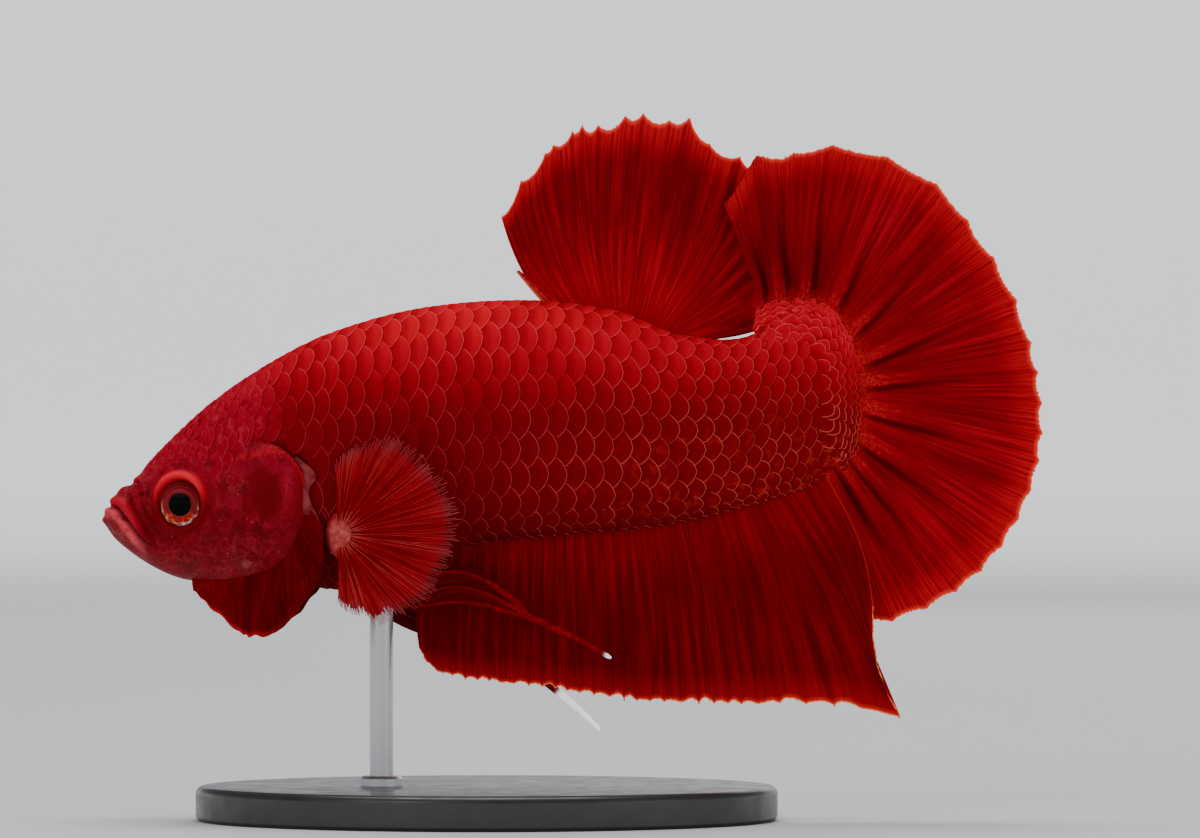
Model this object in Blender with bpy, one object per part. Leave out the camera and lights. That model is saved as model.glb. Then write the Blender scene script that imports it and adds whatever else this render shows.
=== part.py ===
"""Betta fish: a life-size still model of a male halfmoon plakat, held on a display stand.

The fish hangs level with its head a little low, as it swims. +Z is up, the head is at -X, and the
fish's left side faces -Y. The origin is under the middle of the whole model, on the underside of
the stand's base. Sizes below are in millimetres; the objects are built in metres.
"""
import math

import bmesh
import bpy
from mathutils import Vector

MM = 0.001
GAP = 0.3              # clearance between pieces that touch
FIN = 0.6              # thickness of every fin and membrane
SCALLOP = 0.35         # how far a margin draws back between two ray tips
WIDE = 10.0            # half-breadth of a cutter that passes right through the fish
BELOW, ABOVE = 8.0, 40.0   # heights clear of the body, for upright cuts

# The body in side view: the lines of the back and the belly, snout to tail, as (x, z).
BACK = (
    (-30.0, 19.3), (-29.3, 20.4), (-28.4, 21.4), (-26.4, 23.5), (-23.2, 26.5), (-19.4, 29.1),
    (-15.6, 31.0), (-9.8, 32.6), (-2.8, 33.1), (2.8, 32.4), (6.0, 31.1), (9.0, 30.6), (10.8, 30.75),
    (11.8, 31.2), (12.7, 31.95), (13.7, 32.3), (16.2, 32.2),
)
BELLY = (
    (-30.0, 18.9), (-29.1, 17.7), (-26.9, 16.1), (-24.6, 15.2), (-20.0, 15.0), (-14.6, 14.6),
    (-12.5, 14.7), (-10.5, 15.4), (-8.5, 16.6), (-6.9, 17.4), (-0.5, 18.1), (5.8, 18.7),
    (12.1, 20.2), (16.2, 21.4),
)
# The body from above: half of its width, and how high its widest line lies between belly and back.
HALF_WIDTH = (
    (-30.0, 0.8), (-29.0, 1.5), (-27.5, 2.2), (-25.0, 3.0), (-21.5, 3.9), (-18.0, 4.4), (-13.0, 4.4),
    (-7.0, 4.2), (0.0, 3.7), (6.0, 2.9), (12.0, 2.0), (14.2, 1.5), (16.2, 0.9), (17.5, 0.6),
)
WIDEST = ((-30.0, 0.50), (-25.0, 0.52), (-18.0, 0.50), (-8.0, 0.52), (6.0, 0.55), (16.2, 0.50))
SNOUT_X = -30.0
TAIL_X = 17.5          # rearmost point of the fleshy tail stalk
TAIL_ROUND = 2.8       # length over which the stalk rounds off
ROUNDNESS = 2.25       # power of the oval cross-section: 2 is an ellipse, more is fuller
AROUND = 26            # corners of a cross-section
LOFT_STEPS = 44        # cross-sections along the body, closer together at its ends
TAIL_TIP = 0.03        # the last cross-section stops this far short of the end

# Cuts between the pieces of the body, in side view.
NECK_X = -16.6
STALK_X = 9.0
MOUTH_CUT = ((-30.7, 20.0), (-29.0, 19.7), (-28.0, 18.7), (-27.0, 17.5), (-25.7, 14.6))
LIP_CUT = ((-28.6, 22.4), (-27.9, 20.6), (-27.4, 19.2), (-27.1, 17.8))

EYE_X, EYE_Z = -24.8, 20.3
EYE_RADIUS = 1.6
EYE_DEPTH = 1.2        # half of the eyeball's thickness across the head
EYE_Y = 2.25

# Gill cover: a rounded plate on each cheek, as (x, z) from its top front corner rearwards.
COVER = (
    (-20.6, 23.5), (-19.7, 23.9), (-18.8, 23.7), (-17.9, 23.1), (-17.3, 22.2), (-17.1, 21.0),
    (-17.1, 19.8), (-17.4, 18.4), (-18.0, 17.0), (-18.9, 16.0), (-20.1, 15.6), (-20.9, 16.6),
    (-21.2, 18.7), (-21.1, 21.4), (-20.9, 22.8),
)
COVER_DEPTH = 2.9      # distance of the plate's inner face from the middle of the head
COVER_MARGIN = 0.39    # width of the groove round the plate

# Gill membrane: root line on the cheek and free lower margin, as (x, y, z) from front to rear.
MEMBRANE_ROOT = (
    (-24.3, 0.6, 14.8), (-22.4, 1.4, 14.9), (-20.4, 2.4, 15.1), (-18.6, 3.4, 15.9),
    (-17.3, 4.4, 17.1), (-16.6, 4.95, 19.7),
)
MEMBRANE_MARGIN = (
    (-23.7, 0.6, 13.9), (-21.7, 1.3, 12.4), (-20.3, 2.0, 11.7), (-18.3, 3.0, 12.3),
    (-16.2, 4.3, 14.6), (-15.7, 5.1, 18.6),
)

MEMBRANE_FOLDS = 14
FIN_STEPS = 5          # pieces in each ray's length

# Rays are followed outwards from this radius, in these steps, until they have left the body.
RAY_START = 0.5
RAY_STEP = 0.04

# Fans: the point that the rays spread from, and the radius of the margin at chosen angles in degrees.
DORSAL_CENTRE = (-0.4, 30.3)
DORSAL_MARGIN = (
    (6.5, 12.3), (21.0, 13.3), (33.0, 14.5), (45.0, 16.1), (51.5, 15.6), (57.5, 15.6), (62.0, 16.4),
    (72.0, 15.5), (89.0, 13.6), (107.0, 10.5), (117.5, 9.3), (121.5, 5.9), (126.0, 5.6),
)
DORSAL_RAYS = 28
DORSAL_SWAY = 0.9      # sideways swing of the rear rays, clear of the tail fin
DORSAL_STRAIGHT_X = 4.0
DORSAL_REACH_X = 11.0
CAUDAL_CENTRE = (13.9, 27.4)
CAUDAL_MARGIN = (
    (-71.0, 15.7), (-58.5, 16.5), (-44.0, 16.8), (-23.0, 16.6), (-10.0, 16.2), (11.0, 15.5),
    (40.0, 15.4), (55.0, 16.0), (81.0, 15.8), (92.0, 15.0), (99.0, 15.0), (103.0, 14.2),
    (108.5, 12.9), (110.5, 12.7),
)
CAUDAL_RAYS = 36
CAUDAL_SWAY = 0.9      # sideways twist of the margin: right below, clear of the anal fin, left above
CAUDAL_TWIST = 12.0    # height from the fan's centre at which the twist is full
PECTORAL_CENTRE = (-14.8, 18.2)
PECTORAL_MARGIN = (
    (-87.0, 4.7), (-66.0, 6.4), (-41.0, 7.1), (-2.0, 7.5), (26.0, 7.6), (50.0, 7.4), (66.0, 7.0),
    (93.0, 4.6),
)
PECTORAL_RAYS = 22
PECTORAL_INNER = 0.35  # radius at which the rays begin
PECTORAL_Y = 4.75      # distance of the root from the middle of the fish
PECTORAL_FLARE = 0.28  # how far the blade stands out sideways for each millimetre rearwards
PECTORAL_CUP = 0.05    # and for each millimetre above or below the root

# Anal fin: where each keyed ray ends, by its place along the base, as (place, x, z).
ANAL_BASE = (-9.6, 15.9)
ANAL_TIPS = (
    (0.00, -10.1, 11.2), (0.04, -9.3, 9.8), (0.12, -7.0, 8.9), (0.30, -2.0, 8.4), (0.50, 3.9, 7.5),
    (0.70, 10.5, 7.3), (0.80, 15.3, 7.3), (0.87, 20.7, 6.6), (0.90, 19.9, 8.2),
    (0.94, 18.9, 10.9), (1.00, 18.9, 13.3),
)
ANAL_RAYS = 38
ANAL_SWAY = -1.5       # sideways swing of the rear tip

# Pelvic fins: middle line and breadth of each narrow blade, as (x, y, z, breadth).
PELVIC_LEFT = (
    (-15.4, -1.5, 14.0, 0.6), (-11.5, -1.8, 13.8, 1.5), (-7.5, -2.3, 14.1, 1.9),
    (-4.0, -2.6, 13.8, 1.3), (-1.4, -2.8, 12.5, 0.7), (2.3, -3.0, 10.4, 0.55),
)
PELVIC_RIGHT = (
    (-15.4, 1.5, 14.0, 0.6), (-11.5, 1.8, 13.1, 1.5), (-7.5, 2.3, 11.8, 1.7),
    (-4.0, 2.6, 10.1, 1.1), (-1.4, 2.8, 8.2, 0.7), (1.6, 3.0, 5.6, 0.55),
)

# Stand: an oval base, and a rod that runs from a socket in the base to one in the belly.
BASE_X = -5.6
BASE_LENGTH = 37.0
BASE_BREADTH = 27.0
BASE_HEIGHT = 2.2
BASE_BEVEL = 0.5
ROD_X = -12.3
ROD_RADIUS = 0.75
ROD_FOOT = 1.0         # height of the rod's lower end, inside the base
ROD_TOP = 17.2         # height of its upper end, inside the belly
ROD_SIDES = 24


def smooth(stations, at):
    """Value at a place on the smooth curve through (place, value) stations."""
    if at <= stations[0][0]:
        return stations[0][1]
    if at >= stations[-1][0]:
        return stations[-1][1]
    i = max(k for k in range(len(stations) - 1) if stations[k][0] <= at)

    def slope(k):
        low, high = max(k - 1, 0), min(k + 1, len(stations) - 1)
        return (stations[high][1] - stations[low][1]) / (stations[high][0] - stations[low][0])

    (x0, y0), (x1, y1) = stations[i], stations[i + 1]
    span = x1 - x0
    t = (at - x0) / span
    return (
        y0 * (1 + 2 * t) * (1 - t) ** 2 + slope(i) * span * t * (1 - t) ** 2
        + y1 * t * t * (3 - 2 * t) - slope(i + 1) * span * t * t * (1 - t)
    )


def along(points, t):
    """Point at share t of the smooth curve through evenly spaced points of any dimension."""
    last = len(points) - 1
    return [
        smooth([(i / last, p[axis]) for i, p in enumerate(points)], t)
        for axis in range(len(points[0]))
    ]


def outline(x):
    """Top, widest line and bottom of the body at x, rounded off at the end of the tail stalk."""
    top, bottom = smooth(BACK, x), smooth(BELLY, x)
    middle = bottom + (top - bottom) * smooth(WIDEST, x)
    share = max(0.0, x - TAIL_X + TAIL_ROUND) / TAIL_ROUND
    keep = 0.12 + 0.88 * math.sqrt(max(0.0, 1 - share * share))
    return middle + (top - middle) * keep, middle, middle - (middle - bottom) * keep, keep


def section(x):
    """Corners (y, z) of the body's cross-section at x, all the way round."""
    top, middle, bottom, keep = outline(x)
    width = smooth(HALF_WIDTH, x) * (0.3 + 0.7 * keep)
    corners = []
    for k in range(AROUND):
        angle = 2 * math.pi * k / AROUND
        c, s = math.cos(angle), math.sin(angle)
        height = top - middle if s > 0 else middle - bottom
        y = width * math.copysign(abs(c) ** (2 / ROUNDNESS), c)
        z = middle + height * math.copysign(abs(s) ** (2 / ROUNDNESS), s)
        corners.append((y, z))
    return corners


def material(name, colour, roughness, metallic=0.0):
    """A plain finish for one piece."""
    made = bpy.data.materials.new(name)
    made.use_nodes = True
    shader = made.node_tree.nodes["Principled BSDF"]
    shader.inputs["Base Color"].default_value = (*colour, 1)
    shader.inputs["Roughness"].default_value = roughness
    shader.inputs["Metallic"].default_value = metallic
    return made


def mesh_object(name, points, faces, finish=None):
    """An object from points in millimetres, its faces turned outwards where it is closed."""
    mesh = bpy.data.meshes.new(name)
    mesh.from_pydata([Vector(p) * MM for p in points], [], faces)
    solid = bmesh.new()
    solid.from_mesh(mesh)
    bmesh.ops.recalc_face_normals(solid, faces=solid.faces)
    solid.to_mesh(mesh)
    solid.free()
    made = bpy.data.objects.new(name, mesh)
    bpy.context.scene.collection.objects.link(made)
    if finish:
        mesh.materials.append(finish)
    mesh.shade_smooth()
    mesh.set_sharp_from_angle(angle=math.radians(40))
    return made


def tube_faces(rings, around):
    """Faces of a closed tube of equal rings, with a flat cap at each end."""
    faces = [tuple(range(around - 1, -1, -1)), tuple(range((rings - 1) * around, rings * around))]
    for r in range(rings - 1):
        for k in range(around):
            n = (k + 1) % around
            faces.append((r * around + k, r * around + n, (r + 1) * around + n, (r + 1) * around + k))
    return faces


def whole_body():
    """The body from lips to tail stalk, as one closed loft."""
    stations = []
    for i in range(LOFT_STEPS + 1):
        ease = 0.5 - 0.5 * math.cos(math.pi * i / LOFT_STEPS)
        stations.append(SNOUT_X + (TAIL_X - SNOUT_X - TAIL_TIP) * ease)
    points = [(x, y, z) for x in stations for y, z in section(x)]
    return mesh_object("body", points, tube_faces(len(stations), AROUND))


def prism(name, outline, y0, y1):
    """A side-view outline (x, z) made solid between two distances across the fish."""
    n = len(outline)
    points = [(x, y0, z) for x, z in outline] + [(x, y1, z) for x, z in outline]
    faces = [tuple(range(n)), tuple(range(2 * n - 1, n - 1, -1))]
    faces += [(k, (k + 1) % n, n + (k + 1) % n, n + k) for k in range(n)]
    return mesh_object(name, points, faces)


def ribbon(line):
    """Outline of a thin cut of GAP's thickness along a side-view line."""
    upper, lower = [], []
    for i, (x, z) in enumerate(line):
        before, after = Vector(line[max(i - 1, 0)]), Vector(line[min(i + 1, len(line) - 1)])
        run = (after - before).normalized()
        side = Vector((-run.y, run.x)) * (GAP / 2)
        upper.append((x + side.x, z + side.y))
        lower.append((x - side.x, z - side.y))
    return upper + lower[::-1]


def boolean(target, cutter, operation):
    """Cuts or keeps what the cutter covers, and removes the cutter."""
    step = target.modifiers.new("cut", "BOOLEAN")
    step.object = cutter
    step.operation = operation
    step.solver = "EXACT"
    bpy.context.view_layer.update()
    result = bpy.data.meshes.new_from_object(target.evaluated_get(bpy.context.evaluated_depsgraph_get()))
    target.modifiers.clear()
    target.data = result
    bpy.data.objects.remove(cutter)


def ball(name, centre, radii, segments=20, rings=12, finish=None):
    """An oval ball."""
    made = mesh_object(name, [], [], finish)
    solid = bmesh.new()
    bmesh.ops.create_uvsphere(solid, u_segments=segments, v_segments=rings, radius=1.0)
    for v in solid.verts:
        v.co = Vector((centre[i] + radii[i] * v.co[i] for i in range(3))) * MM
    solid.to_mesh(made.data)
    solid.free()
    made.data.shade_smooth()
    return made


def rod(name, x, radius, bottom, top, finish=None):
    """An upright round bar."""
    turns = [2 * math.pi * k / ROD_SIDES for k in range(ROD_SIDES)]
    points = [
        (x + radius * math.cos(a), radius * math.sin(a), z) for z in (bottom, top) for a in turns
    ]
    return mesh_object(name, points, tube_faces(2, ROD_SIDES), finish)


def split_body(body, names, finishes):
    """Parts a cut body into its loose pieces, named in order from snout to tail."""
    solid = bmesh.new()
    solid.from_mesh(body.data)
    left = set(solid.verts)
    pieces = []
    while left:
        piece, edge = set(), [left.pop()]
        while edge:
            v = edge.pop()
            piece.add(v)
            for e in v.link_edges:
                w = e.other_vert(v)
                if w in left:
                    left.discard(w)
                    edge.append(w)
        pieces.append(piece)
    pieces.sort(key=lambda piece: sum(v.co.x for v in piece) / len(piece))
    made = {}
    for name, piece in zip(names, pieces):
        order = {v: i for i, v in enumerate(piece)}
        points = [v.co / MM for v in piece]
        faces = [[order[v] for v in f.verts] for f in solid.faces if f.verts[0] in order]
        made[name] = mesh_object(name, points, faces, finishes[name])
    solid.free()
    bpy.data.objects.remove(body)
    return made


def sheet(name, rays, finish):
    """A fin from its rays, each a list of points from root to margin, thickened both ways."""
    rings = len(rays[0])
    points = [p for ray in rays for p in ray]
    faces = [
        (i * rings + k, (i + 1) * rings + k, (i + 1) * rings + k + 1, i * rings + k + 1)
        for i in range(len(rays) - 1) for k in range(rings - 1)
    ]
    made = mesh_object(name, points, faces, finish)
    wall = made.modifiers.new("thickness", "SOLIDIFY")
    wall.thickness = FIN * MM
    wall.offset = 0
    return made


def fan(centre, margin, count, root, sway, scallop):
    """Rays of a fan-shaped fin. root gives the radius where a ray leaves the body, by its angle;
    sway gives a point's distance across the fish, by its place (x, z) and its share of the ray."""
    rays = []
    for i in range(count + 1):
        angle = margin[0][0] + (margin[-1][0] - margin[0][0]) * i / count
        direction = Vector((math.cos(math.radians(angle)), math.sin(math.radians(angle))))
        inner = root(centre, angle)
        outer = smooth(margin, angle) - (scallop if i % 2 else 0)
        ray = []
        for k in range(FIN_STEPS + 1):
            radius = inner + (outer - inner) * k / FIN_STEPS
            x, z = Vector(centre) + direction * radius
            ray.append((x, sway(x, z, k / FIN_STEPS), z))
        rays.append(ray)
    return rays


def clear_of_body(centre, angle):
    """Radius at which a ray from a fan's centre has left the body by GAP."""
    c, s = math.cos(math.radians(angle)), math.sin(math.radians(angle))
    radius = RAY_START
    while True:
        x, z = centre[0] + radius * c, centre[1] + radius * s
        near = [(0, 0), (GAP, 0), (-GAP, 0), (0, GAP), (0, -GAP)]
        if not any(inside(x + dx, z + dz) for dx, dz in near):
            return radius
        radius += RAY_STEP


def inside(x, z):
    """Whether a place in side view lies within the body."""
    top, middle, bottom, keep = outline(x)
    return x < TAIL_X and bottom < z < top


def anal_rays():
    """Rays of the anal fin, side by side along the belly."""
    steps = FIN_STEPS
    rays = []
    for i in range(ANAL_RAYS + 1):
        t = i / ANAL_RAYS
        x0 = ANAL_BASE[0] + (ANAL_BASE[1] - ANAL_BASE[0]) * t
        z0 = smooth(BELLY, x0) - GAP
        x1 = smooth([(p, x) for p, x, z in ANAL_TIPS], t)
        z1 = smooth([(p, z) for p, x, z in ANAL_TIPS], t) + (SCALLOP if i % 2 else 0)
        ray = []
        for k in range(steps + 1):
            r = k / steps
            ray.append((x0 + (x1 - x0) * r, anal_sway(t, r), z0 + (z1 - z0) * r))
        rays.append(ray)
    return rays


def anal_sway(t, r):
    """The anal fin swings to the fish's left towards its rear tip."""
    return ANAL_SWAY * t * t * r ** 0.8


def blade(line, steps=14):
    """A narrow pelvic blade as two long edges and a middle line."""
    middle = [along(line, k / steps) for k in range(steps + 1)]
    lower, centre, upper = [], [], []
    for k, (x, y, z, breadth) in enumerate(middle):
        before, after = middle[max(k - 1, 0)], middle[min(k + 1, steps)]
        run = Vector((after[0] - before[0], 0, after[2] - before[2])).normalized()
        side = Vector((-run.z, 0, run.x)) * (breadth / 2)
        lower.append((x - side.x, y, z - side.z))
        centre.append((x, y, z))
        upper.append((x + side.x, y, z + side.z))
    return [lower, centre, upper]


def cover_recess():
    """The gill cover's outline grown by its groove, and open through the rear of the head."""
    middle = Vector(((min(x for x, z in COVER) + max(x for x, z in COVER)) / 2, EYE_Z))
    grown = []
    for x, z in COVER:
        out = (Vector((x, z)) - middle).normalized() * COVER_MARGIN
        rearward = NECK_X - max(p[0] for p in COVER) + GAP if x > middle.x else 0
        grown.append((x + out.x + rearward, z + out.y))
    return grown


def build_body(red, pink):
    """Cuts the loft into jaws, head, trunk and tail stalk, and hollows it for eyes and rod."""
    body = whole_body()
    for line in (MOUTH_CUT, LIP_CUT):
        boolean(body, prism("cutter", ribbon(line), -WIDE, WIDE), "DIFFERENCE")
    for x in (NECK_X, STALK_X):
        line = ((x, BELOW), (x, ABOVE))
        boolean(body, prism("cutter", ribbon(line), -WIDE, WIDE), "DIFFERENCE")
    names = ("lower_jaw", "upper_jaw", "head", "trunk", "tail_stalk")
    finishes = {"lower_jaw": pink, "upper_jaw": red, "head": red, "trunk": red, "tail_stalk": red}
    made = split_body(body, names, finishes)
    grown = (EYE_RADIUS + GAP, EYE_DEPTH + GAP, EYE_RADIUS + GAP)
    recess = cover_recess()
    for side in (-1, 1):
        boolean(made["head"], ball("cutter", (EYE_X, side * EYE_Y, EYE_Z), grown), "DIFFERENCE")
        y0, y1 = sorted((side * (COVER_DEPTH - GAP), side * WIDE))
        boolean(made["head"], prism("cutter", recess, y0, y1), "DIFFERENCE")
    socket = rod("cutter", ROD_X, ROD_RADIUS + GAP, BELOW, ROD_TOP + GAP)
    boolean(made["trunk"], socket, "DIFFERENCE")


def build_head_pieces(red, eye):
    """Eyes, gill covers and the membrane that hangs below each cover."""
    for side, name in ((-1, "left"), (1, "right")):
        radii = (EYE_RADIUS, EYE_DEPTH, EYE_RADIUS)
        ball("eye_" + name, (EYE_X, side * EYE_Y, EYE_Z), radii, finish=eye)
        cover = whole_body()
        y0, y1 = sorted((side * COVER_DEPTH, side * WIDE))
        boolean(cover, prism("cutter", COVER, y0, y1), "INTERSECT")
        cover.name = "gill_cover_" + name
        cover.data.materials.clear()
        cover.data.materials.append(red)
        folds, steps = MEMBRANE_FOLDS, FIN_STEPS
        rays = []
        for i in range(folds + 1):
            root, tip = along(MEMBRANE_ROOT, i / folds), along(MEMBRANE_MARGIN, i / folds)
            rays.append([
                (
                    root[0] + (tip[0] - root[0]) * k / steps,
                    side * (root[1] + (tip[1] - root[1]) * k / steps),
                    root[2] + (tip[2] - root[2]) * k / steps,
                )
                for k in range(steps + 1)
            ])
        sheet("gill_membrane_" + name, rays, red)


def build_fins(red):
    """Dorsal, tail, anal, pectoral and pelvic fins."""
    def dorsal_sway(x, z, r):
        share = (x - DORSAL_STRAIGHT_X) / (DORSAL_REACH_X - DORSAL_STRAIGHT_X)
        return DORSAL_SWAY * r * max(0.0, min(1.0, share))

    def caudal_sway(x, z, r):
        return CAUDAL_SWAY * r * max(-1.0, min(1.0, (CAUDAL_CENTRE[1] - z) / CAUDAL_TWIST))

    sheet("dorsal_fin", fan(
        DORSAL_CENTRE, DORSAL_MARGIN, DORSAL_RAYS, clear_of_body, dorsal_sway, SCALLOP), red)
    sheet("caudal_fin", fan(
        CAUDAL_CENTRE, CAUDAL_MARGIN, CAUDAL_RAYS, clear_of_body, caudal_sway, SCALLOP), red)
    sheet("anal_fin", anal_rays(), red)
    for side, name in ((-1, "left"), (1, "right")):
        def pectoral_sway(x, z, r):
            behind, aside = x - PECTORAL_CENTRE[0], abs(z - PECTORAL_CENTRE[1])
            return side * (PECTORAL_Y + PECTORAL_FLARE * behind + PECTORAL_CUP * aside)

        sheet("pectoral_fin_" + name, fan(
            PECTORAL_CENTRE, PECTORAL_MARGIN, PECTORAL_RAYS,
            lambda centre, angle: PECTORAL_INNER, pectoral_sway, SCALLOP / 2), red)
    sheet("pelvic_fin_left", blade(PELVIC_LEFT), red)
    sheet("pelvic_fin_right", blade(PELVIC_RIGHT), red)


def build_stand(steel, black):
    """The oval base, with a socket for the rod, and the rod."""
    corners = 64
    outline = [
        (
            BASE_X + BASE_LENGTH / 2 * math.cos(2 * math.pi * k / corners),
            BASE_BREADTH / 2 * math.sin(2 * math.pi * k / corners),
        )
        for k in range(corners)
    ]
    points = [(x, y, z) for z in (0, BASE_HEIGHT) for x, y in outline]
    base = mesh_object("stand_base", points, tube_faces(2, corners), black)
    solid = bmesh.new()
    solid.from_mesh(base.data)
    rim = [e for e in solid.edges if all(v.co.z > BASE_HEIGHT * MM / 2 for v in e.verts)]
    bmesh.ops.bevel(solid, geom=rim, offset=BASE_BEVEL * MM, segments=3, profile=0.5, affect="EDGES")
    solid.to_mesh(base.data)
    solid.free()
    boolean(base, rod("cutter", ROD_X, ROD_RADIUS + GAP, ROD_FOOT - GAP, 5), "DIFFERENCE")
    rod("stand_rod", ROD_X, ROD_RADIUS, ROD_FOOT, ROD_TOP, steel)


for old in list(bpy.data.objects):
    bpy.data.objects.remove(old)
flesh_red = material("red_flesh", (0.55, 0.01, 0.015), 0.45)
fin_red = material("red_fin", (0.60, 0.02, 0.01), 0.5)
jaw_pink = material("pink_jaw", (0.62, 0.20, 0.20), 0.5)
eye_black = material("eye", (0.05, 0.01, 0.01), 0.1)
rod_steel = material("steel_rod", (0.6, 0.6, 0.62), 0.3, 1.0)
base_black = material("black_base", (0.02, 0.02, 0.022), 0.35)
build_body(flesh_red, jaw_pink)
build_head_pieces(flesh_red, eye_black)
build_fins(fin_red)
build_stand(rod_steel, base_black)
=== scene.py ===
"""Betta fish on a display stand: the finish of every surface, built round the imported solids.

The fish is about 60 mm long and swims level, head towards -X, its left side towards -Y. Sizes are in
millimetres unless a name says otherwise, and MM turns them into the frame's metres.
"""
import math

import bmesh
import bpy
import numpy as np
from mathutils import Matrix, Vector


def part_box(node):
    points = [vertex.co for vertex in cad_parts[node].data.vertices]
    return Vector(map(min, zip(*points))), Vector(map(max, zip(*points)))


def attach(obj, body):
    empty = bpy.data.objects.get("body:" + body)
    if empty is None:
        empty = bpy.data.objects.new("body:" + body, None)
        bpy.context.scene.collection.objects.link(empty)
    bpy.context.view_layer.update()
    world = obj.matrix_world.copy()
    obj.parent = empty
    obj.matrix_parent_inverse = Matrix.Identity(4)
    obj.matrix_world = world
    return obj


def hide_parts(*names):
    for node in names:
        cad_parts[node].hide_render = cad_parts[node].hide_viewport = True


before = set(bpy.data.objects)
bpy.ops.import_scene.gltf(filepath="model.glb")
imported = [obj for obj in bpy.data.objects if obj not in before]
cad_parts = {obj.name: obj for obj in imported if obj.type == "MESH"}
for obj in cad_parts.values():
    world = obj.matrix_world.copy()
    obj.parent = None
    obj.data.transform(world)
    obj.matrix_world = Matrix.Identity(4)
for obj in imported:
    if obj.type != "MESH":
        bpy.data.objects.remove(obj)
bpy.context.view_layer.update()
MM = 0.001


# ---- Room ------------------------------------------------------------------------------------
# A pale studio floor that curves up far away on all sides, soft lights above and in front of the
# fish, and a long lens at the height of its flank. None of it belongs to the model.

def mesh_object(name, points, faces, scale=MM):
    """A smooth-shaded object from points in millimetres."""
    mesh = bpy.data.meshes.new(name)
    mesh.from_pydata((np.asarray(points, float) * scale).tolist(), [], faces)
    mesh.shade_smooth()
    made = bpy.data.objects.new(name, mesh)
    bpy.context.scene.collection.objects.link(made)
    return made


def grid_faces(rows, columns, closed=False):
    """Quads between the points of a grid stored row by row; closed joins its last column to its first."""
    i, j = np.meshgrid(np.arange(rows - 1), np.arange(columns if closed else columns - 1), indexing="ij")
    n = (j + 1) % columns
    quads = np.stack([i * columns + j, i * columns + n, (i + 1) * columns + n, (i + 1) * columns + j], -1)
    return quads.reshape(-1, 4).tolist()


def feed(tree, socket, value):
    """Gives a socket a plain value or another node's output."""
    if isinstance(value, bpy.types.NodeSocket):
        tree.links.new(value, socket)
    else:
        socket.default_value = value


def node(tree, kind, **inputs):
    """A node with some of its inputs fed, each called by its name, or by its place as i0, i1 and so on."""
    made = tree.nodes.new(kind)
    for key, value in inputs.items():
        by_place = key[0] == "i" and key[1:].isdigit()
        feed(tree, made.inputs[int(key[1:]) if by_place else key.replace("_", " ")], value)
    return made


class Finish:
    """A material made in layers: each colour is laid over the ones before it, as strongly as told."""

    def __init__(self, name, roughness, coat=0.0, metallic=0.0, gloss=0.5, coat_roughness=0.12):
        self.material = bpy.data.materials.new(name)
        self.material.use_nodes = True
        self.tree = self.material.node_tree
        self.shader = self.tree.nodes["Principled BSDF"].inputs
        self.set("Roughness", roughness)
        self.set("Metallic", metallic)
        self.set("Coat Weight", coat)
        self.set("Coat Roughness", coat_roughness)
        self.set("Specular IOR Level", gloss)
        self.place = self.tree.nodes.new("ShaderNodeTexCoord").outputs["Object"]
        split = node(self.tree, "ShaderNodeSeparateXYZ", Vector=self.place)
        self.x, self.z = split.outputs["X"], split.outputs["Z"]

    def set(self, socket, value):
        """Gives one of the shader's sockets a plain value or a node's output."""
        feed(self.tree, self.shader[socket], value)

    def mix(self, factor, first, second):
        """The colour between two colours."""
        made = node(self.tree, "ShaderNodeMix", i0=factor)
        made.data_type = "RGBA"
        for key, colour in ((6, first), (7, second)):
            plain = not isinstance(colour, bpy.types.NodeSocket)
            feed(self.tree, made.inputs[key], (*colour, 1) if plain else colour)
        return made.outputs[2]

    def sum(self, operation, *values, clamp=False):
        """The result of one sum on two or three values."""
        made = node(self.tree, "ShaderNodeMath", **{"i%d" % k: value for k, value in enumerate(values)})
        made.operation = operation
        made.use_clamp = clamp
        return made.outputs[0]

    def times(self, first, *others):
        """The product of some values."""
        for other in others:
            first = self.sum("MULTIPLY", first, other)
        return first

    def lay(self, colour, *strengths):
        """Lays a colour over what is there; the strengths are multiplied."""
        self.colour = self.mix(self.times(*strengths), self.colour, colour)

    def kept(self, name):
        """A value stored on the mesh's points."""
        made = self.tree.nodes.new("ShaderNodeAttribute")
        made.attribute_name = name
        return made.outputs["Fac"]

    def span(self, value, low, high):
        """The value's place between low and high, eased, from 0 to 1."""
        made = node(self.tree, "ShaderNodeMapRange", Value=value, From_Min=low, From_Max=high)
        made.interpolation_type = "SMOOTHSTEP"
        return made.outputs[0]

    def noise(self, scale, detail=3.0, vector=None, stretch=(1, 1, 1)):
        """Noise on the piece's own coordinates, finer for a larger scale."""
        place = node(self.tree, "ShaderNodeMapping", Vector=vector or self.place, Scale=stretch).outputs[0]
        made = node(self.tree, "ShaderNodeTexNoise", Vector=place, Scale=scale, Detail=detail)
        return made.outputs[0]

    def clouds(self, scale, detail, low, high):
        """Noise eased between two of its levels."""
        return self.span(self.noise(scale, detail), low, high)

    def finished(self, height, strength, depth_mm):
        """The material with its colour set and fine relief on its surface."""
        self.set("Base Color", self.colour)
        made = node(self.tree, "ShaderNodeBump", Height=height, Strength=strength, Distance=depth_mm * MM)
        self.set("Normal", made.outputs[0])
        return self.material


ROOM_RADIUS = 2300.0
ROOM_CURVE = 700.0
ROOM_SPOKES = 96
CAMERA_X, CAMERA_Z = 1.6, 25.5
CAMERA_AWAY = 450.0
VIEW_WIDTH = 76.3          # breadth of what the camera sees at the fish's middle
SENSOR = 36.0

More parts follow.
